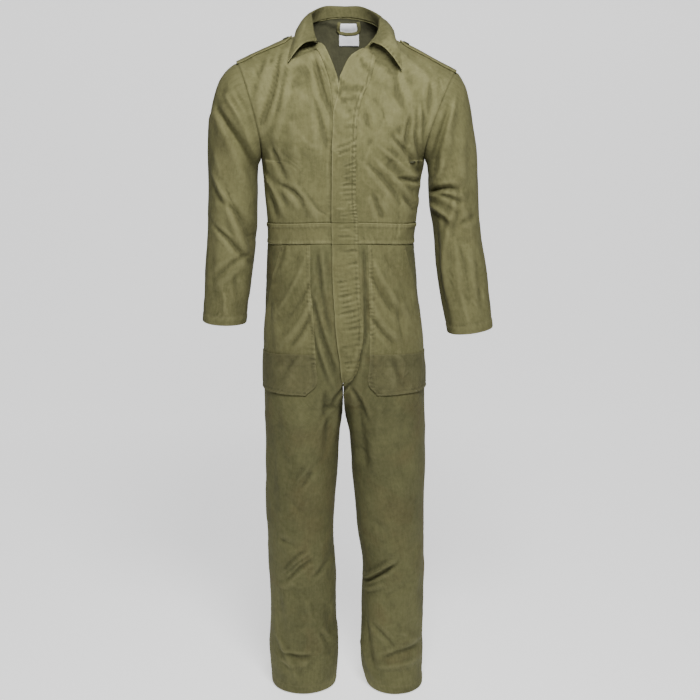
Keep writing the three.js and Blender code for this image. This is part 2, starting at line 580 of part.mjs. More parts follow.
// A piece lying on a surface between two lines, given for each row as shares across.
function layOn({ surface, alongs, from, to, columns, inside, lift, thickness = CLOTH }) {
  const point = (i, j) => surface(mix(from(alongs[i]), to(alongs[i]), j / columns), alongs[i]);
  return wall({ rows: alongs.length - 1, columns, point, inside, lift, thickness });
}

const steps = (from, to, count) => Array.from({ length: count + 1 }, (_, i) => mix(from, to, i / count));

// The fly: lifted over the button stand at its free edge, down on the left front where it is sewn.
function addFly() {
  const columns = 5;
  const lift = (i, j) => mix(FLY_LIFT, LAY, smooth((j / columns - 0.35) / 0.5));
  const upper = bodice("left", FRONT);
  const lower = trousers("left", FRONT);
  const downAt = (height) => -bodicePoint("left", FRONT, 0, height).z;
  const edge = (surface, along, down, name) =>
    acrossAt(surface, along, read(FLY, "down", name, down), "left");
  const upperRows = [FLY_FOOT, ...BODICE_ROWS.filter((height) => height > 0 && height < heightOf(FLY_TOP_RISE)),
    heightOf(FLY_TOP_RISE)];
  add("fly_upper", layOn({
    surface: upper, alongs: upperRows, columns, inside: CHEST_INSIDE, lift,
    from: (height) => edge(upper, height, downAt(height), "edge"),
    to: (height) => edge(upper, height, downAt(height), "stitched"),
  }));
  const band = { inside: CHEST_INSIDE, surface: lower, columns, lift };
  const from = (down) => edge(lower, down, down, "edge");
  const to = (down) => edge(lower, down, down, "stitched");
  add("fly_waist", layOn({ ...band, alongs: steps(WAIST_TOP + 0.4, WAIST_BOTTOM - 0.4, 2), from, to }));
  const flyEnd = FLY.at(-1).down;
  const lowerRows = [WAIST_BOTTOM + 0.4, ...TROUSER_ROWS.filter((down) => down > WAIST_BOTTOM && down < flyEnd),
    712, flyEnd].sort((a, b) => a - b);
  add("fly_lower", layOn({ ...band, alongs: lowerRows, from, to }));
}

function addButtonStand() {
  const surface = bodice("right", FRONT);
  const alongs = [0.02, ...BODICE_ROWS.filter((height) => height > 0 && height <= heightOf(CORNER_RISE))];
  const inner = (height) => Math.abs(surface(0, height).x);
  add("button_stand", layOn({
    surface, alongs, columns: 2, inside: CHEST_INSIDE, lift: () => LAY,
    from: () => 0.004,
    to: (height) => acrossAt(surface, height, inner(height) + STAND_WIDTH, "right"),
  }));
}

function addPocket(side) {
  const surface = trousers(side, FRONT);
  const inside = new THREE.Vector3(0, 0, -600);
  const from = (down) => acrossAt(surface, down, read(POCKET, "down", side, down), side);
  const top = acrossAt(surface, WAIST_BOTTOM, POCKET_SLANT.top, side);
  const to = (down) => mix(top, SIDE_REACH, clamp((down - WAIST_BOTTOM) / (POCKET_SLANT.end - WAIST_BOTTOM), 0, 1));
  const panelRows = TROUSER_ROWS.filter((down) => down > WAIST_BOTTOM && down < POCKET_BOTTOM);
  const rows = [WAIST_BOTTOM + 1, ...panelRows, POCKET_SLANT.end, 741, POCKET_BOTTOM].sort((a, b) => a - b);
  const columns = 12;
  add(`pocket_${side}`, layOn({ surface, alongs: rows, from, to, columns, inside, lift: () => POCKET_LAY }));
  const patchLift = () => POCKET_LAY + CLOTH + LAY;
  const patchRows = [POCKET_PATCH_TOP, ...rows.filter((down) => down > POCKET_PATCH_TOP)];
  const patch = { surface, alongs: patchRows, from, to, columns, inside, lift: patchLift };
  add(`pocket_patch_${side}`, layOn(patch), OLIVE_PATCH);
}

// A point beside the shoulder seam: x along it, and a distance in front of it (below 0) or behind.
function besideSeam(side, x, offset) {
  const face = offset < 0 ? FRONT : BACK;
  const surface = bodice(side, face);
  const onRow = (height) => surface(acrossAt(surface, height, x, side), height);
  const seam = onRow(2);
  let near = 2;
  let far = 1.4;
  for (let i = 0; i < 24 && offset !== 0; i += 1) {
    const half = (near + far) / 2;
    if (onRow(half).distanceTo(seam) < Math.abs(offset)) near = half;
    else far = half;
  }
  return offset === 0 ? seam : onRow((near + far) / 2);
}

const STRAP_END = { right: 113, left: 127 }; // x of the strap's end by the collar

function addStrap(side) {
  const outerX = Math.abs(sleevePoint(side, 0, Math.PI).x) - 2;
  const rows = 8;
  const columns = 6;
  const halfWidth = (i) => (i === rows ? 0.55 : 1) * STRAP_HALF_WIDTH;
  const point = (i, j) =>
    besideSeam(side, mix(outerX, STRAP_END[side], i / rows), halfWidth(i) * (j / (columns / 2) - 1));
  add(`strap_${side}`, wall({ rows, columns, point, inside: CHEST_INSIDE, lift: () => LAY, thickness: DOUBLED }));

  const seat = besideSeam(side, STRAP_END[side] + STRAP_BUTTON.inset, 0);
  const along = besideSeam(side, STRAP_END[side] + STRAP_BUTTON.inset + 8, 0).sub(seat);
  const normal = along.cross(toward(BACK)).normalize();
  if (normal.z < 0) normal.negate();
  const { radius, height } = STRAP_BUTTON;
  const profile = [[0, 0], [radius - 1, 0], [radius, 1], [radius, height - 0.6], [radius - 1, height],
    [radius - 2.5, height - 0.8], [0, height - 0.8]].map(([x, y]) => new THREE.Vector2(x, y));
  const button = new THREE.LatheGeometry(profile, 20).rotateX(Math.PI / 2);
  const mesh = add(`strap_button_${side}`, button, BUTTON_GREEN);
  mesh.quaternion.setFromUnitVectors(UP, normal);
  mesh.position.copy(seat).addScaledVector(normal, LAY + DOUBLED + 0.5);
}

// Neck label inside the back, and the hanger loop across its upper end.
const LABEL = { x: 14, width: 46, top: 1.86, bottom: 1.66 };
const LOOP = { x: 14, width: 52, top: 1.905, bottom: 1.87 };

function addInsideBack(name, place, lift, thickness, material) {
  const surface = bodice("left", BACK);
  const inner = (height, x) => acrossAt(surface, height, x, "left");
  const low = place.x - place.width / 2;
  const high = place.x + place.width / 2;
  add(name, layOn({
    surface, alongs: steps(place.bottom, place.top, 3), columns: 4, inside: CHEST_INSIDE, lift: () => lift, thickness,
    from: (height) => inner(height, low),
    to: (height) => inner(height, high),
  }), material);
}

for (const side of ["right", "left"]) {
  addFront(side);
  addSleeve(side);
  addTrouserPanel(`leg_front_${side}`, side, FRONT);
  addTrouserPanel(`leg_back_${side}`, side, BACK);
  addWaistband(`waistband_${side}`, [side], FRONT);
  addPocket(side);
  addStrap(side);
}
addBack();
addWaistband("waistband_back", ["right", "left"], BACK);
addCollar();
addFly();
addButtonStand();
addInsideBack("label", LABEL, -(CLOTH + LABEL_LAY + LABEL_CLOTH), LABEL_CLOTH, LABEL_WHITE);
addInsideBack("hanger_loop", LOOP, -(CLOTH + LABEL_LAY + LAY + 2 * LABEL_CLOTH), LABEL_CLOTH, OLIVE);

export default suit;
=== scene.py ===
import math

import bpy
import numpy as np
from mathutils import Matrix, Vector


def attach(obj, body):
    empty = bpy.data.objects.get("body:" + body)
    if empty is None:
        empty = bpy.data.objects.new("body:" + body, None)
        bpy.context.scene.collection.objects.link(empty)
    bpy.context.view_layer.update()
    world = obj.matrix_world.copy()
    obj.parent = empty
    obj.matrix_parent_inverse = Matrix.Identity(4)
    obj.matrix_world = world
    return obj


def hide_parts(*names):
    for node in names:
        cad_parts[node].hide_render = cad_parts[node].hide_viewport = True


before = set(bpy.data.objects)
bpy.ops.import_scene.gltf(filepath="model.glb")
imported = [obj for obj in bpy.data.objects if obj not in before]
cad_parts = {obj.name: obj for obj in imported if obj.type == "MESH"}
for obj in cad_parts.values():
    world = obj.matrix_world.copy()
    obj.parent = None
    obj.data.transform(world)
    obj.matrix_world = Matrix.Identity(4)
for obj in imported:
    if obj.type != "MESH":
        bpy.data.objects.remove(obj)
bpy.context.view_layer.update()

# Boiler suit of olive cotton twill, filled out as if worn and open at the neck.
# The tables and surfaces are in millimetres, +Z up, the front facing -Y. Meshes are made in metres.
# Right and left are the wearer's, so right is toward -X. "down" is a depth below the origin.

# Thicknesses of cloth, and how far what lies on a panel stands off it.
CLOTH = 1.5
DOUBLED = 2.4
LABEL_CLOTH = 1.0
LABEL_LAY = 1.4
LAY = 0.9
POCKET_CLOTH = 1.2
POCKET_LAY = 0.6
PATCH_GAP = 0.3
FLY_FOOT = 0.006
FLY_LIFT = 3.2
FLY_GAP = 0.4

# Levels below the origin, shares of a panel, and sizes of the small pieces.
ARMPIT = 242
WAIST_TOP = 374
WAIST_BOTTOM = 422
CROTCH = 818
CROTCH_RISE = 120
HEM = 1529
LEG_MIDDLE = 95
SQUARENESS = 0.05
NECK_SHARE = 0.42
ARMHOLE_REACH = 0.727
STRAP_HALF_WIDTH = 22
STAND_WIDTH = 19
STAND_SEAM = 26
COLLAR_END = 0.75
COLLAR_FOOT = 2.3
COLLAR_ARCH_FROM = 0.55
COLLAR_ARCH = (0, -5, 15)
CORNER_RISE = 0.7
FLY_TOP_RISE = 0.68
POCKET_BOTTOM = 766
POCKET_SLANT_TOP = 138
POCKET_SLANT_END = 668
POCKET_PATCH_TOP = 671
SIDE_REACH = 0.975
STRAP_END = {"right": 113, "left": 127}
LABEL_X = (-9, 37)
LABEL_Z = (8, 58)
LOOP_TAPE = 8
LOOP_PATH = [(-9, 62), (-11, 50), (-8, 40), (2, 37), (14, 36), (26, 37), (35, 41), (38, 51), (36, 63)]
HEM_DEPTH = 20
CUFF_DEPTH = 20

# Cloth from the centre to the side, and from the armpit to the waist and to the shoulder seam, which
# turn shares of a panel into millimetres.
HALF_CHEST = 230
HALF_HIPS = 270
TO_WAIST = WAIST_TOP - ARMPIT
TO_SHOULDER = 230

# Rows of stitches and what lies between them, from the edge.
NEAR_ROW = 2.4
FAR_ROW = 8.4
BETWEEN_ROWS = 5.4
TWO_ROWS = (NEAR_ROW, FAR_ROW)
BACK_LEG_ROWS = (2.5, 8.5)
STRAP_ROW = 4
COLLAR_ROW = 6

# The studio, in metres, and the photograph's view in its pixels.
FLOOR = -1.531
FLOOR_SIZE = 5.2
FLOOR_MIDDLE = 1.4
BACKDROP_RISE = (0, 0.6, 5.5)
BACKDROP_ROUNDING = 1.6
CAMERA_PLACE = (0.016, -3.35, 0.052)
CAMERA_DIP = 12.5
SENSOR = 36
PHOTO_FOCAL = 1460
PHOTO_WIDTH = 700

FRONT = -1
BACK = 1
SIGN = {"right": -1, "left": 1}
SIDES = ("right", "left")


def columns(names, rows):
    """A table with named columns."""
    return dict(zip(names.split(), np.array(rows, float).T))


BODY = columns("down right left rightIn leftIn middle depth dip", [
    (ARMPIT, 186, 186, 0, 0, -8, 121, 0),
    (338, 177, 172, 0, 0, -9, 117, 9),
    (WAIST_TOP, 175, 166, 0, 0, -9, 113, 12),
    (WAIST_BOTTOM, 174, 162, 0, 0, -8, 114, 12),
    (500, 177, 169, 0, 0, -5, 123, 12),
    (571, 180, 179, 0, 0, -3, 129, 13),
    (643, 184, 186, 0, 0, -3, 131, 14),
    (715, 187, 190, 0, 0, -4, 130, 12),
    (CROTCH, 188, 192, 0, 0, -6, 122, 0),
    (886, 185, 193, 8, 14, -5, 110, 0),
    (985, 185, 194, 14, 21, -4, 100, 0),
    (1060, 186, 194, 20, 29, -4, 94, 0),
    (1136, 182, 195, 22, 38, -5, 89, 0),
    (1213, 181, 196, 20, 46, -2, 86, 0),
    (1316, 179, 194, 17, 44, 2, 83, 0),
    (1421, 181, 193, 13, 42, 6, 80, 0),
    (1487, 179, 193, 15, 46, 8, 79, 0),
    (HEM, 175, 194, 21, 57, 8, 78, 0),
])

SLEEVE = {
    "right": columns("ring outX outDown inX inDown middle depth skew", [
        (0, 240, 28, 186, ARMPIT, -8, 88, 0.17),
        (1, 263, 46, 190, 248, -7, 86, 0.13),
        (2, 281, 68, 192, 255, -6, 83, 0.09),
        (3, 294, 104, 193, 264, -4, 80, 0.05),
        (4, 302, 148, 194, 276, -2, 77, 0.02),
        (5, 307, 202, 195, 294, 1, 74, 0),
        (6, 309, 262, 195, 322, 4, 72, 0),
        (7, 310, 322, 195, 356, 7, 70, 0),
        (8, 312, 384, 196, 398, 7, 68, 0),
        (9, 316, 440, 204, 448, 1, 66, 0),
        (10, 319, 495, 209, 500, -9, 63, 0),
        (11, 323, 553, 217, 557, -22, 60, 0),
        (12, 326, 612, 225, 616, -36, 57, 0),
    ]),
    "left": columns("ring outX outDown inX inDown middle depth skew", [
        (0, 256, 48, 186, ARMPIT, -8, 88, 0.17),
        (1, 268, 66, 190, 248, -7, 86, 0.13),
        (2, 279, 89, 192, 255, -6, 83, 0.09),
        (3, 288, 128, 193, 264, -4, 80, 0.05),
        (4, 296, 172, 194, 276, -2, 77, 0.02),
        (5, 304, 222, 194, 294, 1, 74, 0),
        (6, 308, 282, 194, 318, 4, 72, 0),
        (7, 312, 338, 197, 350, 7, 70, 0),
        (8, 318, 398, 208, 396, 7, 68, 0),
        (9, 325, 452, 213, 450, 0, 66, 0),
        (10, 333, 510, 218, 510, -11, 63, 0),
        (11, 341, 568, 226, 574, -24, 60, 0),
        (12, 347, 625, 242, 639, -38, 57, 0),
    ]),
}

FRONT_EDGE = columns("rise z y right left", [
    (0, -ARMPIT, -129, 0, 0),
    (0.2, -185, -127, 0, 0),
    (0.4, -122, -117, 1, 2),
    (0.55, -62, -101, 10, 9),
    (0.63, -22, -87, 24, 25),
    (0.7, 12, -72, 41, 52),
    (0.8, 22, -48, 61, 68),
    (0.9, 31, -22, 76, 79),
    (1, 40, 2, 84, 84),
])
BACK_EDGE = columns("rise z y", [
    (0, -ARMPIT, 113), (0.25, -165, 121), (0.5, -80, 117), (0.7, -15, 107), (0.85, 32, 96), (1, 70, 82),
])

# The collar from its right front end (-1) past the back centre (0) to the left one (1):
# where it rolls over, and its lower edge.
COLLAR = columns("round rollX rollY rollZ edgeX edgeY edgeZ", [
    (-1, -59, -76, 22, -120, -90, -24),
    (-0.85, -64, -44, 50, -116, -64, 4),
    (-0.7, -68, -14, 72, -109, -30, 27),
    (-0.5, -69, 16, 83, -100, 20, 46),
    (-0.25, -42, 70, 97, -60, 88, 43),
    (0, 0, 84, 97, 0, 103, 44),
    (0.25, 42, 70, 97, 62, 88, 43),
    (0.5, 80, 16, 77, 110, 20, 46),
    (0.7, 81, -16, 66, 118, -30, 24),
    (0.85, 77, -46, 42, 126, -74, 0),
    (1, 60, -87, 18, 130, -97, -41),
])

FLY = columns("down edge stitched", [
    (-8, 53, 70), (11, 20, 70), (37, 3, 67), (67, -8, 57), (97, -13, 44), (123, -19, 37), (160, -22, 32),
    (324, -25, 29), (WAIST_TOP, -25, 34), (WAIST_BOTTOM, -24, 35), (527, -22, 39), (607, -17, 45),
    (672, -10, 41), (714, -4, 33), (736, 0, 16),
])
POCKET = columns("down right left", [
    (WAIST_BOTTOM, 73, 56), (526, 72, 59), (610, 65, 61), (700, 61, 59), (741, 60, 58), (766, 85, 80),
])

# Folds as seen from the front or back: both ends (x, z), how far the middle bows sideways, width and
# height. Ridges are above 0 and troughs below.
FOLD_NAMES = "x1 z1 x2 z2 bow width height"
FRONT_FOLDS = columns(FOLD_NAMES, [
    (-144, -33, -188, -172, -6, 7, -9.1), (-164, -20, -201, -133, -4, 9, 3.9),
    (-120, -63, -157, -215, -5, 12, 3.9), (-190, -168, -178, -274, 3, 6, -6.5),
    (-64, -10, -31, -128, 2, 8, -8), (-58, -105, -35, -213, 0, 9, -3.9),
    (-156, -210, -126, -277, 3, 7, -3.9), (-139, -293, -82, -331, -4, 8, -4.5),
    (-99, -302, -55, -364, 0, 9, 3.9), (-167, -318, -150, -367, 0, 7, -3.2),
    (-111, -148, -94, -257, 4, 16, 3.2), (-179, -273, -131, -357, -4, 7, 3.9),
    (112, -20, 135, -132, 4, 9, -4.5), (148, -145, 142, -219, 2, 6, -6.5),
    (170, -132, 171, -216, 0, 6, 5.2), (118, -193, 181, -284, -4, 7, -6.5),
    (95, -219, 171, -294, -3, 8, 4.5), (162, -190, 186, -283, 2, 5, -5.9),
    (65, -253, 131, -333, -3, 8, -5.2), (82, -245, 154, -324, -3, 7, 3.9),
    (127, -278, 183, -291, 0, 6, -5.2), (69, -315, 91, -366, 0, 8, -3.9),
    (136, -318, 164, -358, 0, 7, -3.9), (51, -126, 64, -213, 2, 12, -3.2),
    (193, -73, 181, -174, -3, 8, -3.9), (90, -84, 108, -166, 3, 14, 3.2),
    (-82, -454, -160, -600, -6, 9, 5.2), (-96, -440, -159, -526, -5, 8, -4.5),
    (-74, -508, -142, -613, -5, 8, -5.2), (-69, -549, -133, -652, -5, 8, 4.5),
    (-76, -590, -120, -659, -3, 7, -3.9), (-132, -428, -155, -496, -2, 7, -3.9),
    (-106, -682, -143, -747, 2, 9, -2.6), (-166, -555, -163, -672, 0, 8, -3.2),
    (70, -463, 147, -595, 5, 9, 5.2), (65, -494, 124, -590, 5, 8, -5.2),
    (92, -445, 151, -540, 4, 8, -4.5), (63, -549, 111, -631, 4, 8, 3.9),
    (66, -590, 120, -654, 3, 7, -3.9), (124, -550, 138, -656, 2, 8, -3.2),
    (111, -687, 134, -757, -2, 9, -2.6), (-67, -549, -16, -715, 4, 6, -5.2),
    (-55, -462, -29, -617, 3, 7, -3.9), (-61, -617, -20, -748, 3, 5, 3.9),
    (-46, -435, -42, -539, 0, 7, 3.2), (47, -435, 52, -617, -1, 6, -4.5),
    (52, -617, 16, -752, -3, 6, -5.2), (43, -548, 45, -668, 0, 4, 3.2), (11, -745, -30, -811, 3, 6, -5.2),
    (2, -764, -48, -850, 3, 7, 3.9), (21, -755, 57, -840, -3, 7, -5.2),
    (-39, -767, -30, -910, 2, 10, -6.5), (-12, -784, -26, -913, 0, 7, 3.9),
    (34, -792, 49, -956, -2, 10, -6.5), (-154, -796, -142, -954, 0, 16, -3.9),
    (-99, -785, -72, -952, 3, 18, 3.9), (-105, -978, -79, -939, 0, 5, 3.2),
    (-96, -993, -70, -955, 0, 6, -3.2), (85, -794, 72, -977, 0, 16, 3.9),
    (140, -810, 137, -979, 0, 16, -3.9), (123, -957, 167, -1129, 4, 20, 3.9),
    (-166, -890, -164, -1086, 0, 10, -3.2), (-124, -1030, -59, -1079, 3, 12, -3.2),
    (72, -1080, 124, -1129, 0, 12, -3.2), (-135, -1208, -85, -1161, -4, 4.5, 5.2),
    (-126, -1224, -74, -1179, -3, 5.5, -5.2), (-107, -1192, -79, -1200, 0, 6, -1.5),
    (-153, -1255, -112, -1235, 0, 9, 3.2), (-70, -1222, -31, -1185, 2, 8, -3.9),
    (-149, -1129, -111, -1144, 0, 10, -3.2), (52, -1250, 122, -1192, -3, 5, -7.8),
    (59, -1232, 115, -1182, -3, 5, 5.2), (54, -1271, 97, -1239, 0, 6, 4.5),
    (97, -1270, 158, -1240, 2, 12, -3.2), (144, -1153, 173, -1233, 0, 12, 3.2),
    (-156, -1283, -142, -1385, 0, 12, -3.2), (-143, -1426, -75, -1431, 3, 6, -5.2),
    (-153, -1443, -90, -1453, 3, 8, 3.9), (-159, -1387, -110, -1495, -3, 8, 4.5),
    (-56, -1369, -23, -1446, -2, 8, -4.5), (-42, -1294, -25, -1397, 0, 9, -3.9),
    (-89, -1283, -61, -1385, 2, 14, 3.9), (73, -1350, 136, -1424, -4, 8, -4),
    (98, -1433, 184, -1412, -3, 9, -6), (88, -1459, 180, -1449, -2, 10, 5.2),
    (54, -1342, 69, -1466, 2, 8, -5.2), (131, -1361, 175, -1402, -2, 12, 4.5),
    (45, -1416, 74, -1494, 2, 7, 3.9), (159, -1287, 175, -1389, 0, 12, -2.6),
    (-116, -10, -60, 16, 0, 12, -14), (56, 8, 118, -40, 0, 12, -14),
])
FLY_RUCKS = columns(FOLD_NAMES, [
    (-15, -99, 38, -92, 1, 2.6, 2.2), (-12, -107, 33, -105, 0, 3, -1.6),
    (-13, -211, 29, -196, 2, 2.6, 2.2), (-8, -220, 27, -209, 0, 3, -1.1), (1, -163, 31, -159, 0, 3, -0.5),
    (7, -139, 31, -131, 0, 3, 0.4), (5, -248, 31, -242, 0, 3.4, -1.1), (3, -270, 29, -268, 0, 3.2, 0.9),
    (-2, -290, 29, -286, 0, 3.4, -1.3), (-11, -308, 29, -304, 0, 3.2, 1.1),
    (-4, -323, 29, -323, 0, 3.4, -1.3), (-15, -341, 29, -339, 1, 3.4, 0.9),
    (-2, -357, 32, -355, 0, 3.2, -1.1), (-11, -386, 29, -384, 0, 3, -0.8),
    (-15, -404, 29, -404, 0, 3, -0.8), (-20, -440, 34, -435, 0, 3.4, -1.1),
    (-13, -453, 34, -449, 1, 3.2, 0.9), (-18, -471, 36, -462, 1, 3.6, -1.5),
    (-11, -489, 36, -480, 1, 3.2, 1.1), (-15, -507, 36, -496, 2, 3.8, -1.7),
    (-6, -523, 38, -514, 1, 3.2, 1.1), (-15, -541, 38, -527, 2, 3.8, -1.9),
    (-2, -559, 41, -548, 1, 3.4, 1.3), (-11, -578, 41, -566, 2, 3.6, -1.7),
    (-2, -596, 41, -587, 1, 3.4, 1.3), (-9, -614, 41, -608, 1, 3.8, -1.9),
    (2, -633, 39, -628, 1, 3.4, 1.1), (-4, -654, 39, -647, 1, 3.8, -1.9),
    (5, -672, 36, -668, 0, 3.4, 1.3), (0, -691, 34, -686, 1, 3.6, -1.7), (7, -707, 30, -707, 0, 3.4, 1.1),
])
SLEEVE_FRONT_FOLDS = columns(FOLD_NAMES, [
    (-278, -130, -189, -308, -8, 11, -12), (-234, -91, -192, -175, -4, 7, -8),
    (-255, -108, -199, -218, -6, 8, 5), (-293, -275, -220, -479, -8, 8, 6),
    (-272, -329, -197, -443, -6, 11, -8), (-286, -397, -211, -483, -4, 7, -6),
    (-296, -209, -272, -329, -3, 12, 3.5), (-223, -458, -292, -508, 3, 7, -4),
    (-232, -485, -288, -536, 2, 9, 3), (-246, -508, -234, -590, 0, 10, -5),
    (-273, -530, -266, -595, 0, 8, 2.5), (-299, -440, -298, -578, 0, 9, -2.5),
    (-287, -152, -299, -263, 0, 10, -2.5), (-261, -74, -284, -135, -2, 10, -2.5),
    (230, -134, 200, -277, 4, 8, -10), (248, -108, 236, -219, 3, 9, 5), (191, -320, 259, -307, -8, 7, -9),
    (196, -347, 246, -379, -4, 7, 7), (249, -302, 242, -388, -5, 6, 4), (212, -391, 237, -616, 5, 8, -8),
    (241, -386, 234, -555, 6, 9, 5), (200, -299, 227, -240, 3, 7, 4), (261, -152, 268, -285, 0, 12, 3),
    (284, -174, 292, -376, 0, 12, -3), (277, -360, 311, -487, -3, 12, 3.5),
    (259, -418, 289, -555, -4, 10, -4), (301, -441, 322, -598, 0, 9, -3),
    (218, -320, 268, -338, -3, 6, -5), (268, -383, 304, -365, 2, 8, -3), (270, -544, 289, -618, 0, 8, 3),
])
BACK_FOLDS = columns(FOLD_NAMES, [
    (-188, -60, -160, -190, 5, 9, -6), (190, -70, 158, -196, -5, 9, -6),
    (-150, -40, -128, -150, 4, 14, 3), (150, -44, 124, -160, -4, 13, 3), (-60, 20, -40, -150, 4, 18, -3),
    (64, 16, 44, -140, -4, 17, -3), (-176, -214, -110, -330, -6, 9, -5), (178, -220, 112, -336, 6, 9, -5),
    (-168, -250, -116, -356, -5, 9, 4), (170, -256, 120, -350, 5, 8, 4), (-90, -290, -70, -366, 0, 9, -4),
    (92, -296, 74, -368, 0, 9, -4), (-30, -300, -26, -368, 0, 10, -3), (34, -310, 30, -368, 0, 10, -3),
    (-8, -180, 6, -300, 0, 16, 3), (-40, 60, 44, 56, 8, 7, -2.5), (-120, -436, -112, -540, 2, 11, -3),
    (116, -436, 108, -548, -2, 11, -3), (-60, -440, -66, -560, 0, 12, -2.5),
    (62, -440, 66, -552, 0, 12, -2.5), (-150, -680, -50, -790, -8, 12, -5),
    (156, -690, 54, -796, 8, 12, -5), (-146, -730, -44, -820, -8, 10, 4), (150, -736, 48, -826, 8, 10, 4),
    (-20, -640, -14, -760, 0, 8, -4), (22, -640, 16, -760, 0, 8, -4), (-140, -800, -46, -852, -5, 9, -5),
    (146, -806, 50, -860, 5, 9, -5), (-120, -880, -60, -1010, 3, 18, -3),
    (124, -884, 70, -1020, -3, 18, -3), (-150, -1120, -60, -1146, -5, 7, -6),
    (160, -1136, 74, -1160, 5, 7, -6), (-146, -1146, -58, -1172, -5, 8, 4.5),
    (156, -1162, 78, -1188, 5, 8, 4.5), (-140, -1176, -72, -1196, -4, 7, -5),
    (150, -1190, 88, -1212, 4, 7, -5), (-130, -1100, -76, -1108, 2, 8, -3),
    (134, -1112, 90, -1120, 0, 8, -3), (-120, -1240, -110, -1390, 3, 16, -3),
    (126, -1250, 118, -1400, -3, 16, -3), (-150, -1420, -70, -1446, 5, 10, -5),
    (160, -1424, 84, -1452, -5, 10, -5),
])
SLEEVE_BACK_FOLDS = columns(FOLD_NAMES, [
    (-272, -90, -206, -230, -8, 10, -7), (276, -100, 208, -236, 8, 10, -7),
    (-290, -150, -214, -290, -8, 10, 5), (292, -160, 216, -296, 8, 10, 5),
    (-296, -330, -214, -372, -6, 8, -7), (300, -340, 216, -380, 6, 8, -7),
    (-300, -356, -210, -404, -6, 8, 5), (306, -366, 214, -412, 6, 8, 5),
    (-300, -386, -214, -430, -4, 7, -5), (310, -396, 222, -436, 4, 7, -5),
    (-280, -450, -262, -580, 4, 12, -4), (294, -460, 282, -590, -4, 12, -4),
])


def mix(a, b, share):
    return a + (b - a) * share


def smooth(value):
    t = np.clip(value, 0, 1)
    return t * t * (3 - 2 * t)


def read(rows, key, name, at):
    """One column of a table at places along its key column, smoothly between the rows."""
    keys, values = rows[key], rows[name]
    at = np.asarray(at, float)
    last = len(keys) - 1
    before = np.maximum(np.arange(last + 1) - 1, 0)
    after = np.minimum(np.arange(last + 1) + 1, last)
    slope = (values[after] - values[before]) / (keys[after] - keys[before])
    i = np.clip(np.searchsorted(keys, at, side="left") - 1, 0, last - 1)
    span = keys[i + 1] - keys[i]
    t = np.clip((at - keys[i]) / span, 0, 1)
    from_low = (1 + 2 * t) * (1 - t) ** 2 * values[i] + t * (1 - t) ** 2 * span * slope[i]
    from_high = t * t * (3 - 2 * t) * values[i + 1] + t * t * (t - 1) * span * slope[i + 1]
    return from_low + from_high


def joined(x, y, z):
    return np.stack(np.broadcast_arrays(x, y, z), axis=-1).astype(float)


def unit(vectors):
    return vectors / np.maximum(np.linalg.norm(vectors, axis=-1, keepdims=True), 1e-9)


def body_point(side, face, across, down):
    """The trousers, and the bodice below the armpits, from the centre or inner seam (0) to the side (1)."""
    across, down = np.broadcast_arrays(np.asarray(across, float), np.asarray(down, float))
    outer = read(BODY, "down", side, down)
    in_leg = down > CROTCH
    inner = np.where(in_leg, read(BODY, "down", side + "In", down), 0)
    parting = np.clip((down - CROTCH + CROTCH_RISE) / CROTCH_RISE, 0, 1)
    half = np.where(in_leg, (outer - inner) / 2, outer / (1 + parting))
    angle = mix(-np.arcsin(parting), math.pi / 2, across)
    fullness = 1 + SQUARENESS * np.sin(math.pi * across) ** 2
    x = outer - half + half * np.sin(angle) * fullness
    depth = read(BODY, "down", "depth", down)
    y = read(BODY, "down", "middle", down) + face * depth * np.cos(angle) * fullness
    z = -down - read(BODY, "down", "dip", down) * np.sin(angle) ** 2
    return joined(SIGN[side] * x, y, z)


def sleeve_point(side, ring, turn):
    """A sleeve, around from the underarm (0) by the front to the outer side (pi)."""
    ring, turn = np.broadcast_arrays(np.asarray(ring, float), np.asarray(turn, float))
    at = {name: read(SLEEVE[side], "ring", name, ring) for name in SLEEVE[side]}
    to_outer = (1 - np.cos(turn)) / 2
    forward = at["depth"] * np.sin(turn)
    x = mix(at["inX"], at["outX"], to_outer) - at["skew"] * forward
    z = -mix(at["inDown"], at["outDown"], to_outer)
    return joined(SIGN[side] * x, at["middle"] - forward, z)


def top_edge(side, face, across):
    """Shapes of the top edges, as shares of the way from the centre to the shoulder tip."""
    if face == FRONT:
        return across, across, across
    tip = sleeve_point(side, 0, math.pi)
    centre_y, centre_z = BACK_EDGE["y"][-1], BACK_EDGE["z"][-1]
    neck_x, neck_y, neck_z = FRONT_EDGE[side][-1], FRONT_EDGE["y"][-1], FRONT_EDGE["z"][-1]
    around = np.clip(across / NECK_SHARE, 0, 1) * (math.pi / 2)
    along = np.clip((across - NECK_SHARE) / (1 - NECK_SHARE), 0, 1)
    x = mix(neck_x * np.sin(around), abs(tip[0]), along)
    y = mix(mix(centre_y, neck_y, 1 - np.cos(around)), tip[1], along)
    z = mix(mix(centre_z, neck_z, 1 - np.cos(around)), tip[2], along)
    return x / abs(tip[0]), (centre_y - y) / (centre_y - tip[1]), (centre_z - z) / (centre_z - tip[2])


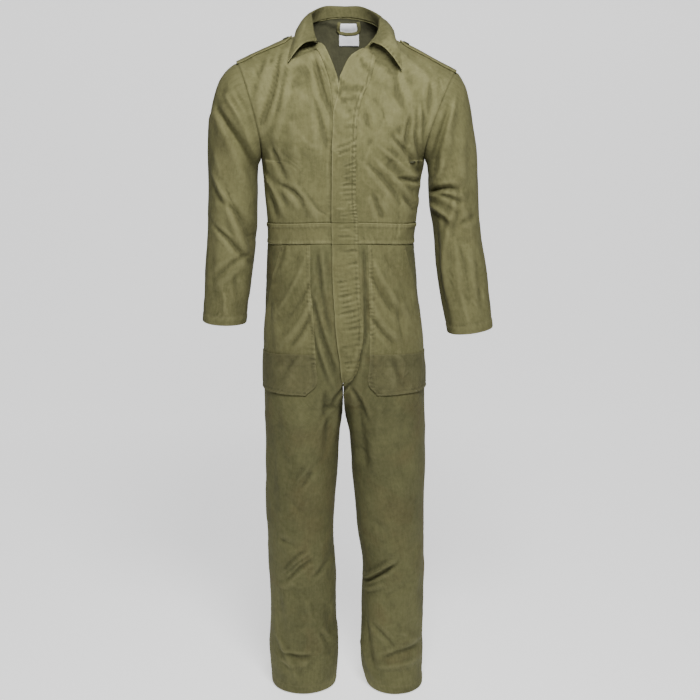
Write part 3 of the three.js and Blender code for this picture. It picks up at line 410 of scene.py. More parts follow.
def bodice_point(side, face, across, height):
    """The bodice, from the waist (0) to the armpits (1) and the shoulder seam (2)."""
    across, height = np.broadcast_arrays(np.asarray(across, float), np.asarray(height, float))
    lower = body_point(side, face, across, mix(WAIST_TOP, ARMPIT, np.minimum(height, 1)))
    turn = math.pi * np.maximum(height - 1, 0)
    rise = (1 - np.cos(turn)) / 2
    edge = FRONT_EDGE if face == FRONT else BACK_EDGE
    start_x = read(edge, "rise", side, rise) if face == FRONT else 0 * rise
    start = joined(SIGN[side] * start_x, read(edge, "rise", "y", rise), read(edge, "rise", "z", rise))
    reach = sleeve_point(side, 0, -face * turn) - start
    flattening = smooth(rise / 0.5)
    arc = np.arccos(ARMHOLE_REACH * np.sin(np.minimum(turn, math.pi / 2)))
    top_x, top_y, top_z = top_edge(side, face, across)
    to_top = smooth((turn / math.pi - 0.45) / 0.55)
    sideways = mix(np.sin(arc * across) / np.sin(arc), top_x, to_top)
    in_depth = mix((1 - np.cos(arc * across)) / (1 - np.cos(arc)), top_y, to_top)
    in_height = mix(across * across, top_z, to_top)
    point = start + reach * np.stack([sideways, in_depth, in_height], axis=-1)
    extra = SQUARENESS * (1 - flattening) * np.sin(math.pi * across) ** 2
    point[..., 0] += point[..., 0] * extra
    point[..., 1] += (point[..., 1] - BODY["middle"][0]) * extra
    return np.where((height <= 1)[..., None], lower, point)


def fold_height(folds, x, z):
    """How far the folds move the cloth out at places seen from the front or back."""
    height = np.zeros_like(x)
    for x1, z1, x2, z2, bow, width, depth in zip(*(folds[name] for name in FOLD_NAMES.split())):
        along_x, along_z = x2 - x1, z2 - z1
        length = math.hypot(along_x, along_z)
        along = ((x - x1) * along_x + (z - z1) * along_z) / length
        share = np.clip(along / length, 0, 1)
        off = ((x - x1) * along_z - (z - z1) * along_x) / length - 4 * bow * share * (1 - share)
        past = np.maximum(np.abs(along - length / 2) - length * 0.28, 0) / (length * 0.26)
        spread = width * (0.7 + 0.5 * share)
        middle = np.exp(-((off / spread) ** 2))
        lips = np.exp(-(((np.abs(off) - 2 * spread) / (1.1 * spread)) ** 2))
        height += depth * (middle - 0.28 * lips) * np.exp(-past * past)
    return height


def wave_set(seed, count, shortest, longest):
    """Directions, pitches and starts of faint waves in all directions."""
    rng = np.random.default_rng(seed)
    way = unit(rng.normal(size=(count, 3)) * (1, 0.6, 1))
    pitch = shortest * (longest / shortest) ** rng.random(count)
    return list(zip(way, pitch, rng.random(count) * 2 * math.pi))


WAVES = wave_set(11, 18, 60, 260)
CREASES = wave_set(23, 8, 90, 170)


def unevenness(points):
    """Soft unevenness of worn cotton, in millimetres: faint waves and a few faint sharper creases."""
    total = np.zeros(points.shape[:-1])
    for way, pitch, start in WAVES:
        total += 0.0026 * pitch * np.sin(points @ way * (2 * math.pi / pitch) + start + 0.7 * total)
    for way, pitch, start in CREASES:
        ridge = np.abs(np.sin(points @ way * (math.pi / pitch) + start + 0.6 * total))
        crease = np.exp(-((ridge / 0.24) ** 2)) - 0.1
        total += 0.0032 * pitch * crease * np.sin(points @ way[::-1] / pitch * 3)
    return total


def outward(surface, across, along, inside, step=0.01):
    """The outward direction of a surface at places on it."""
    sideways = surface(across + step, along) - surface(across - step, along)
    lengthways = surface(across, along + step) - surface(across, along - step)
    normal = unit(np.cross(sideways, lengthways))
    away = np.sum(normal * (surface(across, along) - inside), axis=-1, keepdims=True)
    return normal * np.where(away < 0, -1, 1)


def with_folds(surface, folds, inside, fold_share, uneven_share):
    """The surface with its folds and unevenness, each as a share that can fade out toward a seam."""
    def folded(across, along):
        across, along = np.broadcast_arrays(np.asarray(across, float), np.asarray(along, float))
        point = surface(across, along)
        height = fold_height(folds, point[..., 0], point[..., 2]) * fold_share(across, along)
        height += unevenness(point) * uneven_share(across, along)
        return point + outward(surface, across, along, inside) * height[..., None]
    return folded


CHEST_INSIDE = np.array([0, 0, -260.0])
FOLDS = {FRONT: FRONT_FOLDS, BACK: BACK_FOLDS}


def bodice(side, face):
    """The bodice with folds that end at the side, shoulder and armhole seams."""
    def surface(across, height):
        return bodice_point(side, face, across, height)

    def fold_share(across, height):
        from_side, from_shoulder = (1 - across) * HALF_CHEST, (2 - height) * TO_SHOULDER
        from_armpit = np.hypot(from_side, (height - 1) * TO_WAIST)
        return smooth(from_side / 26) * smooth(from_shoulder / 22) * smooth(from_armpit / 55)

    def uneven_share(across, height):
        return smooth(((1 - across) * HALF_CHEST + np.maximum(1 - height, 0) * TO_WAIST) / 24)

    return with_folds(surface, FOLDS[face], CHEST_INSIDE, fold_share, uneven_share)


def trousers(side, face):
    """The trousers, along in metres below the origin so that one step suits both directions."""
    inside = np.array([SIGN[side] * LEG_MIDDLE, 0, -900.0])

    def surface(across, metres):
        down = np.asarray(metres, float) * 1000
        at_crotch = np.exp(-(((down - CROTCH) / 26) ** 2))[..., None]
        point = body_point(side, face, across, down)
        above, below = (body_point(side, face, across, down + step) for step in (-18, 18))
        return mix(point, (above + below) / 2, 0.8 * at_crotch)

    def fold_share(across, metres):
        leg = smooth((metres * 1000 - CROTCH + 40) / 60)
        from_side, from_inner = (1 - across) * HALF_HIPS, (across + 0.02) * HALF_HIPS
        return smooth(from_side / 26) * mix(1, smooth(from_inner / 22), leg)

    return with_folds(surface, FOLDS[face], inside, fold_share, lambda across, metres: 1.0)


def sleeve(side, ring, turn):
    point = sleeve_point(side, ring, turn)
    centre = (sleeve_point(side, ring, 0 * turn) + sleeve_point(side, ring, 0 * turn + math.pi)) / 2
    x, z = point[..., 0], point[..., 2]
    front = fold_height(SLEEVE_FRONT_FOLDS, x, z)
    back = fold_height(SLEEVE_BACK_FOLDS, x, z)
    facing = np.sin(turn)
    height = np.where(facing > 0, front, back) * np.minimum(1, 1.7 * np.abs(facing)) * smooth(ring / 2)
    return point + unit(point - centre) * (height + unevenness(point) * smooth(ring / 0.6))[..., None]


def across_at(surface, along, x, side):
    """Where rows of a surface reach a sideways place, found by halving."""
    low = np.full(np.shape(along), -0.4)
    high = np.ones(np.shape(along))
    for _ in range(22):
        half = (low + high) / 2
        short = SIGN[side] * surface(half, along)[..., 0] < x
        low, high = np.where(short, half, low), np.where(short, high, half)
    return (low + high) / 2


def lengths(grid, axis):
    """The length of cloth along one direction of a grid, from its first line."""
    steps = np.linalg.norm(np.diff(grid, axis=axis), axis=2)
    total = np.cumsum(steps, axis=axis)
    start = np.zeros_like(total[:1] if axis == 0 else total[:, :1])
    return np.concatenate([start, total], axis=axis)


def grid_normals(grid, inside, tube):
    ring = np.concatenate([grid[:, -1:], grid, grid[:, :1]], axis=1) if tube else grid
    along_columns = np.gradient(ring, axis=1)
    along_columns = along_columns[:, 1:-1] if tube else along_columns
    normal = unit(np.cross(np.gradient(grid, axis=0), along_columns))
    i, j = grid.shape[0] // 2, grid.shape[1] // 2
    return normal if normal[i, j] @ (grid[i, j] - inside) > 0 else -normal


class Panel:
    """A fine grid over one cut piece, with the length of cloth from each of its edges."""

    def __init__(self, grid, inside, tube=False):
        self.grid, self.inside, self.tube = grid, np.asarray(inside, float), tube
        self.normal = grid_normals(grid, self.inside, tube)
        self.from_start = lengths(grid, 0)
        self.from_inner = lengths(np.concatenate([grid, grid[:, :1]], axis=1) if tube else grid, 1)
        self.from_end = self.from_start[-1:] - self.from_start
        self.from_outer = self.from_inner[:, -1:] - self.from_inner
        self.height = np.zeros(grid.shape[:2])
        self.worn = np.zeros(grid.shape[:2])
        # Painted shade: how much darker the cloth is painted at each point, where shade falls between parts
        # and in hollows.
        self.painted_shade = np.zeros(grid.shape[:2])
        self.outer = grid

    def columns_only(self, values):
        return values[:, :-1] if self.tube else values


def beside(away, reach=1.6, strength=0.5):
    """The strength at an edge or line, dying out away from it."""
    return strength * np.exp(-((away / reach) ** 2))


def groove(away, width=2.2, depth=1.3):
    """A seam's groove."""
    return -beside(away, width, depth)


def raised_edge(away, high, depth, fade):
    """The strip that a turned-in edge raises."""
    return high * smooth(away / 1.5) * (1 - smooth((away - depth) / fade))


def turned_edge(away, depth):
    """The thicker strip between a turned-in edge and its stitching, and the dent of the stitching."""
    strip = smooth(away / 1.5) * (1 - smooth((away - depth + 1.5) / 2.5))
    return 1.2 * strip + groove(away - depth, 1.6, 1.0)


def puckers(along, away, seed, spacing=10.0, depth=0.9, reach=9.0, slant=0.25):
    """Small uneven ridges across a sewn edge, dying out away from it."""
    rng = np.random.default_rng(seed)
    knots = np.arange(0, np.max(along) + 90, 22.0)
    phase = np.cumsum(rng.uniform(0.62, 1.5, len(knots))) * 22.0 * 2 * math.pi / spacing
    strength = rng.uniform(0.1, 1.0, len(knots)) ** 1.3
    lean = rng.uniform(-1, 1, len(knots))
    turn = np.interp(along, knots, phase) + np.interp(along, knots, lean) * away * slant
    wave = np.cos(turn)
    wave = np.where(wave > 0, np.abs(wave) ** 1.6, 0.6 * wave)
    return depth * np.interp(along, knots, strength) * wave * np.exp(-((away / reach) ** 2))


def even(length, cell, fine_first=True, fine_last=True):
    """Shares from 0 to 1 with an even cell, and closer lines at the ends that are seams or edges."""
    marks = list(np.linspace(0, 1, max(2, round(length / cell)) + 1))
    close = [d / length for d in (0.8, 1.8, 3.0)]
    if fine_first:
        marks += close
    if fine_last:
        marks += [1 - d for d in close]
    marks = sorted(marks)
    kept = [marks[0]]
    for mark in marks[1:]:
        if mark - kept[-1] > 0.3 / length:
            kept.append(mark)
    kept[-1] = 1.0
    return np.array(kept)


def bend(grid, normal, tube):
    """How far each point stands out from its neighbours, for wear on crests and shade in grooves."""
    pad = np.pad(grid, ((2, 2), (0, 0), (0, 0)), mode="edge")
    pad = np.concatenate([pad[:, -2:], pad, pad[:, :2]], axis=1) if tube else \
        np.pad(pad, ((0, 0), (2, 2), (0, 0)), mode="edge")
    around = (pad[4:, 2:-2] + pad[:-4, 2:-2] + pad[2:-2, 4:] + pad[2:-2, :-4]) / 4
    cell = np.median(np.linalg.norm(np.diff(grid, axis=0), axis=2))
    return np.sum((grid - around) * normal, axis=2) * (3.0 / cell) ** 2


def seam_line(panel, edge, distance, ends=(4.0, 4.0)):
    """The line at a distance from an edge of a panel, with its outward directions, short of both ends."""
    away, outer, outer_normal = getattr(panel, edge), panel.outer, panel.outer_normal
    lengthways = edge in ("from_inner", "from_outer")
    if lengthways:
        away = panel.columns_only(away)
    else:
        away, outer, outer_normal = (grid.swapaxes(0, 1) for grid in (away, outer, outer_normal))
    order = 1 if edge in ("from_inner", "from_start") else -1
    points, normals = [], []
    for row, places, ways in zip(away, outer, outer_normal):
        at = np.interp(distance, row[::order], np.arange(len(row))[::order])
        j = min(int(at), len(row) - 2)
        points.append(mix(places[j], places[j + 1], at - j))
        normals.append(ways[j])
    if panel.tube and not lengthways:
        points.append(points[0])
        normals.append(normals[0])
    points, normals = np.array(points), np.array(normals)
    along = np.concatenate([[0], np.cumsum(np.linalg.norm(np.diff(points, axis=0), axis=1))])
    inside = (along >= ends[0]) & (along <= along[-1] - ends[1])
    return points[inside], normals[inside]


def stitching(name, lines, thread, pitch=3.4, long=2.5, wide=0.42, high=0.42):
    """Rows of thread: each stitch a small boat shape lying along its line."""
    corners, faces = [], []
    for points, normals in lines:
        along = np.concatenate([[0], np.cumsum(np.linalg.norm(np.diff(points, axis=0), axis=1))])
        starts = np.arange(0, along[-1] - long, pitch)
        if len(starts) == 0:
            continue

        def at(place, values):
            return np.stack([np.interp(place, along, values[:, k]) for k in range(3)], axis=1)

        first, last = at(starts, points), at(starts + long, points)
        up = unit(at(starts + long / 2, normals))
        way = unit(last - first)
        aside = np.cross(up, way)
        middle = (first + last) / 2
        ring = [first - 0.1 * up, middle + high * up, middle + wide * aside + 0.12 * up, middle - 0.3 * up,
                middle - wide * aside + 0.12 * up, last - 0.1 * up]
        base = sum(len(c) for c in corners)
        corners.append(np.stack(ring, axis=1).reshape(-1, 3))
        index = base + 6 * np.arange(len(starts))[:, None]
        for a, b in ((1, 2), (2, 3), (3, 4), (4, 1)):
            faces.append(index + np.array([[0, b, a]]))
            faces.append(index + np.array([[5, a, b]]))
    mesh = bpy.data.meshes.new(name)
    mesh.from_pydata((np.concatenate(corners) / 1000).tolist(), [], np.concatenate(faces).tolist())
    mesh.polygons.foreach_set("use_smooth", np.ones(len(mesh.polygons), bool))
    mesh.materials.append(thread)
    mesh.update()
    piece = bpy.data.objects.new(name, mesh)
    bpy.context.collection.objects.link(piece)
    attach(piece, "root")
    return piece


def bartack(panel, row, line, length, lengthways):
    """A short thick bar of cross stitches at one place of a panel."""
    i = int(row * (panel.outer.shape[0] - 2))
    j = int(line * (panel.outer.shape[1] - 2))
    down = unit(panel.outer[i + 1, j] - panel.outer[i, j])
    out = panel.outer_normal[i, j]
    way = down if lengthways else unit(np.cross(out, down))
    reach = 1.35 * np.cross(out, way)
    middles = panel.outer[i, j] + way * np.arange(-length / 2, length / 2, 0.6)[:, None] + 0.2 * out
    return [(np.array([middle - reach, middle + reach]), np.array([out, out])) for middle in middles]


def make_cloth(name, panel, looks, thickness=CLOTH, lift=-CLOTH, rests_on=(),
               sewn=(), tacks=()):
    """Makes the shell of a cut piece with its rows of stitches."""
    lift = np.asarray(lift, float) + thickness + panel.height
    outer = panel.grid + panel.normal * lift[..., None]
    normal = grid_normals(outer, panel.inside, panel.tube)
    inner = outer - normal * thickness
    panel.outer, panel.outer_normal = outer, normal
    rows, lines = outer.shape[:2]
    total = rows * lines
    spans = lines if panel.tube else lines - 1

    def strip(i, j, di, dj, flip):
        """The row and line of each corner of faces that span di rows and dj lines."""
        near = np.stack([i, j], axis=1)
        corners = [near, near + (di, 0), near + (di, dj), near + (0, dj)]
        return corners[::-1] if flip else corners

    i, j = (a.ravel() for a in np.meshgrid(np.arange(rows - 1), np.arange(spans), indexing="ij"))
    mid_i, mid_j = rows // 2, lines // 2 - 1
    middle = outer[mid_i, mid_j]
    facing = np.cross(outer[mid_i + 1, mid_j] - middle, outer[mid_i, mid_j + 1] - middle)
    forward = facing @ normal[mid_i, mid_j] > 0
    outside = strip(i, j, 1, 1, not forward)
    inside = strip(i, j, 1, 1, forward)
    faces, places, kinds = [], [], []

    def put(corners, layers, kind):
        index = np.stack([c[:, 0] * lines + c[:, 1] % lines + layer * total
                          for c, layer in zip(corners, layers)], axis=1)
        faces.append(index)
        places.append(np.stack(corners, axis=1))
        kinds.append(np.full(len(index), kind))

    put(outside, (0, 0, 0, 0), 0)
    put(inside, (1, 1, 1, 1), 1)

    def rim(row, line, step, turned):
        """The narrow faces along one edge, between the outer grid and the inner one."""
        near = np.stack(np.broadcast_arrays(row, line), axis=1)
        corners, layers = [near, near + step, near + step, near], (0, 0, 1, 1)
        put(corners if turned else corners[::-1], layers if turned else layers[::-1], 0)

    rim(0, np.arange(spans), (0, 1), forward)
    rim(rows - 1, np.arange(spans), (0, 1), not forward)
    if not panel.tube:
        rim(np.arange(rows - 1), 0, (1, 0), not forward)
        rim(np.arange(rows - 1), lines - 1, (1, 0), forward)

    mesh = bpy.data.meshes.new(name)
    points = np.concatenate([outer.reshape(-1, 3), inner.reshape(-1, 3)]) / 1000
    mesh.from_pydata(points.tolist(), [], np.concatenate(faces).tolist())
    place = np.concatenate(places).reshape(-1, 2)
    weave = np.stack([panel.from_inner[place[:, 0], place[:, 1]],
                      panel.from_start[place[:, 0], place[:, 1] % lines]], axis=1) / 1000
    mesh.uv_layers.new(name="weave").uv.foreach_set("vector", weave.astype(np.float32).ravel())
    # Crests get pale wear. The shade attribute is painted shade: grooves darkened by their bend, plus the
    # panel's own painted shade.
    stands_out = bend(outer, normal, panel.tube)
    worn = np.clip(0.55 * smooth((stands_out - 0.12) / 0.8) + panel.worn, 0, 1)
    shade = np.clip(smooth((-stands_out - 0.1) / 0.8) + panel.painted_shade, 0, 1)
    for label, values in (("worn", worn), ("shade", shade)):
        both = np.concatenate([values.ravel(), values.ravel()]).astype(np.float32)
        mesh.attributes.new(label, "FLOAT", "POINT").data.foreach_set("value", both)
    mesh.polygons.foreach_set("use_smooth", np.ones(len(mesh.polygons), bool))
    for material in looks:
        mesh.materials.append(material)
    mesh.polygons.foreach_set("material_index", np.concatenate(kinds).astype(np.int32))
    mesh.update()
    piece = bpy.data.objects.new(f"cloth_{name}", mesh)
    bpy.context.collection.objects.link(piece)
    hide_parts(name)
    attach(piece, "root")
    cell = np.cross(np.diff(panel.grid, axis=0)[:, :-1], np.diff(panel.grid, axis=1)[:-1])
    rows = [seam_line(panel, *row) for row in sewn]
    for tack in tacks:
        rows += bartack(panel, *tack)
    thread = [stitching(f"stitches_{name}", rows, THREAD)] if rows else []
    list(rests_on)


def ironed(grid, height, across, all_across=0.0, rounds=40):
    """The grid smoothed beside the armpit, and by a share all across at its level, its edges unmoved."""
    from_level = (height[:, None] - 1) * TO_WAIST
    from_armpit = np.hypot((1 - across[None, :]) * HALF_CHEST, from_level)
    weight = np.maximum(beside(from_armpit, 34, 0.9), beside(from_level, 24, all_across))
    weight = weight[1:-1, 1:-1, None]
    grid = grid.copy()
    for _ in range(rounds):
        middle = (grid[2:, 1:-1] + grid[:-2, 1:-1] + grid[1:-1, 2:] + grid[1:-1, :-2]) / 4
        grid[1:-1, 1:-1] += weight * (middle - grid[1:-1, 1:-1])
    return grid


def front(side, looks):
    surface = bodice(side, FRONT)
    height = 2 * even(400, 3.0)
    across = even(235, 3.0)
    panel = Panel(ironed(surface(across[None, :], height[:, None]), height, across), CHEST_INSIDE)
    seed = 100 + SIGN[side]
    panel.height += groove(panel.from_start) + groove(panel.from_end) + groove(panel.from_outer, 3.0, 2.2)
    panel.height += puckers(panel.from_inner, panel.from_start, seed, spacing=9, depth=0.9, reach=10)
    panel.height += puckers(panel.from_start, panel.from_outer, seed + 5, spacing=12, depth=0.6, reach=9)
    # Painted shade along the side seam and the armhole.
    panel.painted_shade += beside(panel.from_outer, 5, 0.6)
    sewn = []
    if side == "right":
        beside_stand = np.abs(panel.from_inner - STAND_SEAM)
        panel.height += groove(beside_stand, 1.8, 1.4)
        panel.height += puckers(panel.from_start, beside_stand, seed + 8, spacing=10, depth=0.7, reach=9)
        sewn.append(("from_inner", STAND_SEAM + 3, (4, 70)))
    make_cloth(f"front_{side}", panel, looks, rests_on=["cloth_back"], sewn=sewn)


def back(looks):
    surfaces = {side: bodice(side, BACK) for side in SIDES}
    height = 2 * even(430, 3.4)
    half = even(240, 3.4, fine_first=False)
    rows = [surfaces["right"](half[::-1][None, :], height[:, None]),
            surfaces["left"](half[1:][None, :], height[:, None])]
    across = np.concatenate([half[::-1], half[1:]])
    panel = Panel(ironed(np.concatenate(rows, axis=1), height, across, all_across=0.9), CHEST_INSIDE)
    panel.height += groove(panel.from_start) + groove(panel.from_inner) + groove(panel.from_outer)
    shoulder = np.abs(panel.from_inner - panel.from_inner[:, -1:] / 2) > 95
    panel.height += np.where(shoulder, groove(panel.from_end), 0)
    panel.height += puckers(panel.from_inner, panel.from_start, 131, spacing=10, depth=0.9, reach=10)
    panel.height += puckers(panel.from_start, panel.from_inner, 133, spacing=12, depth=0.6, reach=9)
    panel.height += puckers(panel.from_start, panel.from_outer, 134, spacing=12, depth=0.6, reach=9)
    make_cloth("back", panel, looks)


def make_sleeve(side, looks):
    ring = 12 * even(600, 3.2)
    turn = 2 * math.pi * np.arange(116) / 116
    panel = Panel(sleeve(side, ring[:, None], turn[None, :]), (SIGN[side] * 255, 0, -360), tube=True)
    around = panel.from_inner[:, :-1]
    seed = 150 + SIGN[side]
    underarm = np.minimum(around, panel.from_outer[:, :-1])
    panel.height += groove(panel.from_start, 3.0, 2.0) + groove(underarm, 2.4, 1.0)
    # Painted shade along the armhole seam and, strongly, on the inner side of the sleeve.
    panel.painted_shade += beside(panel.from_start, 6, 0.5) + beside(underarm, 56, 1.0)
    panel.height += puckers(around, panel.from_start, seed, spacing=15, depth=0.8, reach=12)
    panel.height += turned_edge(panel.from_end, CUFF_DEPTH)
    panel.height += puckers(around, np.abs(panel.from_end - CUFF_DEPTH), seed + 3,
                            spacing=9, depth=0.6, reach=7)
    panel.worn += beside(panel.from_end, 2.0, 0.8) + beside(panel.from_end - CUFF_DEPTH, 2.5, 0.5)
    make_cloth(f"sleeve_{side}", panel, looks, rests_on=[f"cloth_front_{side}", "cloth_back"],
               sewn=[("from_end", CUFF_DEPTH)])


def leg(side, face, looks):
    surface = trousers(side, face)
    cell = 3.7 if face == FRONT else 4.4
    down = mix(WAIST_BOTTOM, HEM, even(1107, cell))
    across = even(300, cell)
    panel = Panel(surface(across[None, :], down[:, None] / 1000), (SIGN[side] * LEG_MIDDLE, 0, -1100))
    seed = 170 + SIGN[side] + 4 * face
    panel.height += groove(panel.from_start) + groove(panel.from_inner) + groove(panel.from_outer)
    panel.height += puckers(panel.from_inner, panel.from_start, seed, spacing=10, depth=0.9, reach=12)
    panel.height += puckers(panel.from_start, panel.from_inner, seed + 7, spacing=14, depth=0.7, reach=9)
    panel.height += puckers(panel.from_start, panel.from_outer, seed + 9, spacing=14, depth=0.7, reach=9)
    panel.height += turned_edge(panel.from_end, HEM_DEPTH)
    panel.height += puckers(panel.from_inner, np.abs(panel.from_end - 0.8 * HEM_DEPTH), seed + 3, spacing=9,
                            depth=0.8, reach=9)
    panel.worn += beside(panel.from_end, 2.0, 0.8) + beside(panel.from_end - HEM_DEPTH, 2.5, 0.4)
    name = f"leg_{'front' if face == FRONT else 'back'}_{side}"
    waist = f"cloth_waistband_{side}" if face == FRONT else "cloth_waistband_back"
    sewn = [("from_end", HEM_DEPTH)]
    if face == BACK:
        sewn += [("from_outer", away) for away in BACK_LEG_ROWS]
    make_cloth(name, panel, looks, rests_on=[waist], sewn=sewn)


def waistband(name, sides, face, looks):
    down = mix(WAIST_TOP, WAIST_BOTTOM, even(48, 2.6))[:, None] / 1000
    half = even(262, 2.6, fine_first=len(sides) == 1)
    if len(sides) == 1:
        grid = trousers(sides[0], face)(half[None, :], down)
    else:
        grid = np.concatenate([trousers("right", face)(half[::-1][None, :], down),
                               trousers("left", face)(half[1:][None, :], down)], axis=1)
    panel = Panel(grid, (0, 0, -WAIST_TOP))
    seed = 190 + len(name)
    for away, start in ((panel.from_start, 0), (panel.from_end, 5)):
        panel.height += groove(away, 1.4, 1.0) + raised_edge(away, 0.9, 8, 3)
        panel.height += puckers(panel.from_inner, np.abs(away - 5), seed + start,
                                spacing=8, depth=0.9, reach=7)
        panel.worn += beside(away - 0.8, 1.5, 0.7) + beside(away - BETWEEN_ROWS, 2.2, 0.35)
    panel.height += 0.5
    hangs_from = [f"cloth_front_{side}" for side in sides] if face == FRONT else ["cloth_back"]
    make_cloth(name, panel, looks, rests_on=hangs_from,
               sewn=[(edge, away) for edge in ("from_start", "from_end") for away in TWO_ROWS])


def fly(looks):
    upper, lower = bodice("left", FRONT), trousers("left", FRONT)
    shares = even(58, 2.2)

    def strip(name, surface, alongs, downs, rests_on):
        low = across_at(surface, alongs, read(FLY, "down", "edge", downs), "left")
        high = across_at(surface, alongs, read(FLY, "down", "stitched", downs), "left")
        grid = surface(mix(low[:, None], high[:, None], shares[None, :]), alongs[:, None])
        panel = Panel(grid, CHEST_INSIDE)
        x, z = grid[..., 0], grid[..., 2]
        rucks = fold_height(FLY_RUCKS, x, z) * (0.8 + 0.5 * np.sin(z / 23 + x / 11))
        panel.height += rucks * smooth(panel.from_inner / 20)
        panel.height += puckers(-z, panel.from_outer, 211, spacing=11, depth=1.1, reach=13)
        panel.height += turned_edge(panel.from_inner, 60) * 0.5 + groove(panel.from_outer - 8, 1.6, 0.7)
        panel.worn += beside(panel.from_inner, 2.6, 1.0)
        panel.worn += beside(panel.from_outer - BETWEEN_ROWS, 2.4, 0.4)
        lift = mix(FLY_LIFT, LAY, smooth((shares[None, :] - 0.35) / 0.5)) + 0 * x
        make_cloth(name, panel, looks, lift=lift, rests_on=rests_on,
                   sewn=[("from_outer", away) for away in TWO_ROWS])

    top = 1 + math.acos(1 - 2 * FLY_TOP_RISE) / math.pi
    heights = mix(FLY_FOOT, top, even(360, 2.4))
    downs = -bodice_point("left", FRONT, 0, heights)[:, 2]
    strip("fly_upper", upper, heights, downs, ["cloth_front_left"])
    downs = mix(WAIST_TOP + FLY_GAP, WAIST_BOTTOM - FLY_GAP, even(47, 2.4))
    strip("fly_waist", lower, downs / 1000, downs, ["cloth_waistband_left"])
    downs = mix(WAIST_BOTTOM + FLY_GAP, FLY["down"][-1], even(314, 2.4))
    strip("fly_lower", lower, downs / 1000, downs, ["cloth_leg_front_left"])


def button_stand(looks):
    surface = bodice("right", FRONT)
    top = 1 + math.acos(1 - 2 * CORNER_RISE) / math.pi
    heights = mix(0.02, top, even(380, 3))
    first = surface(0 * heights, heights)
    far = across_at(surface, heights, np.abs(first[:, 0]) + STAND_WIDTH, "right")
    shares = even(19, 2.2)
    panel = Panel(surface(mix(0.004, far[:, None], shares[None, :]), heights[:, None]), CHEST_INSIDE)
    panel.height += puckers(panel.from_start, panel.from_outer, 231, spacing=10, depth=0.8, reach=9)
    panel.worn += beside(panel.from_inner, 2.0, 0.6)
    make_cloth("button_stand", panel, looks, lift=LAY, rests_on=["cloth_front_right"],
               sewn=[("from_outer", NEAR_ROW)])


def pocket(side, looks, patch_looks):
    surface = trousers(side, FRONT)
    top = float(across_at(surface, np.array([WAIST_BOTTOM / 1000]), POCKET_SLANT_TOP, side)[0])

    def lay(name, first_down, lift, seed, finish, rests_on):
        downs = mix(first_down, POCKET_BOTTOM, even(POCKET_BOTTOM - first_down, 2.8))
        low = across_at(surface, downs / 1000, read(POCKET, "down", side, downs), side)
        slant = np.clip((downs - WAIST_BOTTOM) / (POCKET_SLANT_END - WAIST_BOTTOM), 0, 1)
        high = mix(top, SIDE_REACH, slant)
        shares = even(150, 2.8)
        grid = surface(mix(low[:, None], high[:, None], shares[None, :]), downs[:, None] / 1000)
        panel = Panel(grid, (0, 0, -600))
        for away, along, more in ((panel.from_inner, panel.from_start, 0),
                                  (panel.from_end, panel.from_inner, 5)):
            panel.height += puckers(along, np.abs(away - 4), seed + more, spacing=9, depth=1.4, reach=10)
            panel.height += groove(away - 8, 1.6, 0.9)
            panel.worn += beside(away, 1.8, 0.8) + beside(away - BETWEEN_ROWS, 2.4, 0.4)
        sewn = [(edge, away) for edge in ("from_inner", "from_end") for away in TWO_ROWS]
        tacks = []
        if name == "pocket":
            panel.worn += beside(panel.from_outer, 1.8, 0.4) * (downs[:, None] < POCKET_SLANT_END)
            sewn += [("from_outer", NEAR_ROW), ("from_outer", 9)]
            tacks += [(0.04, 0.95, 11, side == "right"), (0.985, 0.06, 8, False)]
        else:
            panel.height += puckers(panel.from_inner, panel.from_start, seed + 7,
                                    spacing=10, depth=0.6, reach=8)
            panel.worn += beside(panel.from_start, 1.8, 0.6)
            sewn.append(("from_start", NEAR_ROW))
        make_cloth(f"{name}_{side}", panel, finish, thickness=POCKET_CLOTH, lift=lift,
                   rests_on=rests_on, sewn=sewn, tacks=tacks)

    seed = 240 + SIGN[side]
    lay("pocket", WAIST_BOTTOM + 1, POCKET_LAY, seed, looks, [f"cloth_leg_front_{side}"])
    lay("pocket_patch", POCKET_PATCH_TOP, POCKET_LAY + POCKET_CLOTH + PATCH_GAP, seed, patch_looks,
        [f"cloth_pocket_{side}"])


def beside_seam(side, x, offset):
    """Points beside the shoulder seam: x along it, and how far in front of it (below 0) or behind."""
    x, offset = np.broadcast_arrays(x, offset)
    out = np.zeros(x.shape + (3,))
    for face in (FRONT, BACK):
        surface = bodice(side, face)

        def on_row(height):
            return surface(across_at(surface, height, x, side), height)

        seam = on_row(np.full(x.shape, 2.0))
        near, far = np.full(x.shape, 2.0), np.full(x.shape, 1.4)
        for _ in range(14):
            half = (near + far) / 2
            closer = np.linalg.norm(on_row(half) - seam, axis=-1) < np.abs(offset)
            near, far = np.where(closer, half, near), np.where(closer, far, half)
        wanted = (offset < 0) if face == FRONT else (offset >= 0)
        out = np.where(wanted[..., None], on_row((near + far) / 2), out)
    return out


def strap(side, looks):
    outer_x = abs(sleeve_point(side, 0, math.pi)[0]) - 2
    along = np.linspace(0, 1, 46)
    point_from = 0.88
    narrowing = np.where(along > point_from, mix(1, 0.5, (along - point_from) / (1 - point_from)), 1)
    offsets = narrowing[:, None] * STRAP_HALF_WIDTH * np.linspace(-1, 1, 19)[None, :]
    grid = beside_seam(side, mix(outer_x, STRAP_END[side], along)[:, None] + 0 * offsets, offsets)
    panel = Panel(grid, CHEST_INSIDE)
    for away in (panel.from_inner, panel.from_outer, panel.from_end):
        panel.height += raised_edge(away, 0.5, 4, 2)
        panel.worn += beside(away, 1.5, 0.5)
    make_cloth(f"strap_{side}", panel, looks, thickness=DOUBLED, lift=LAY,
               rests_on=[f"cloth_front_{side}", "cloth_back"],
               sewn=[(edge, STRAP_ROW) for edge in ("from_inner", "from_outer", "from_end")])


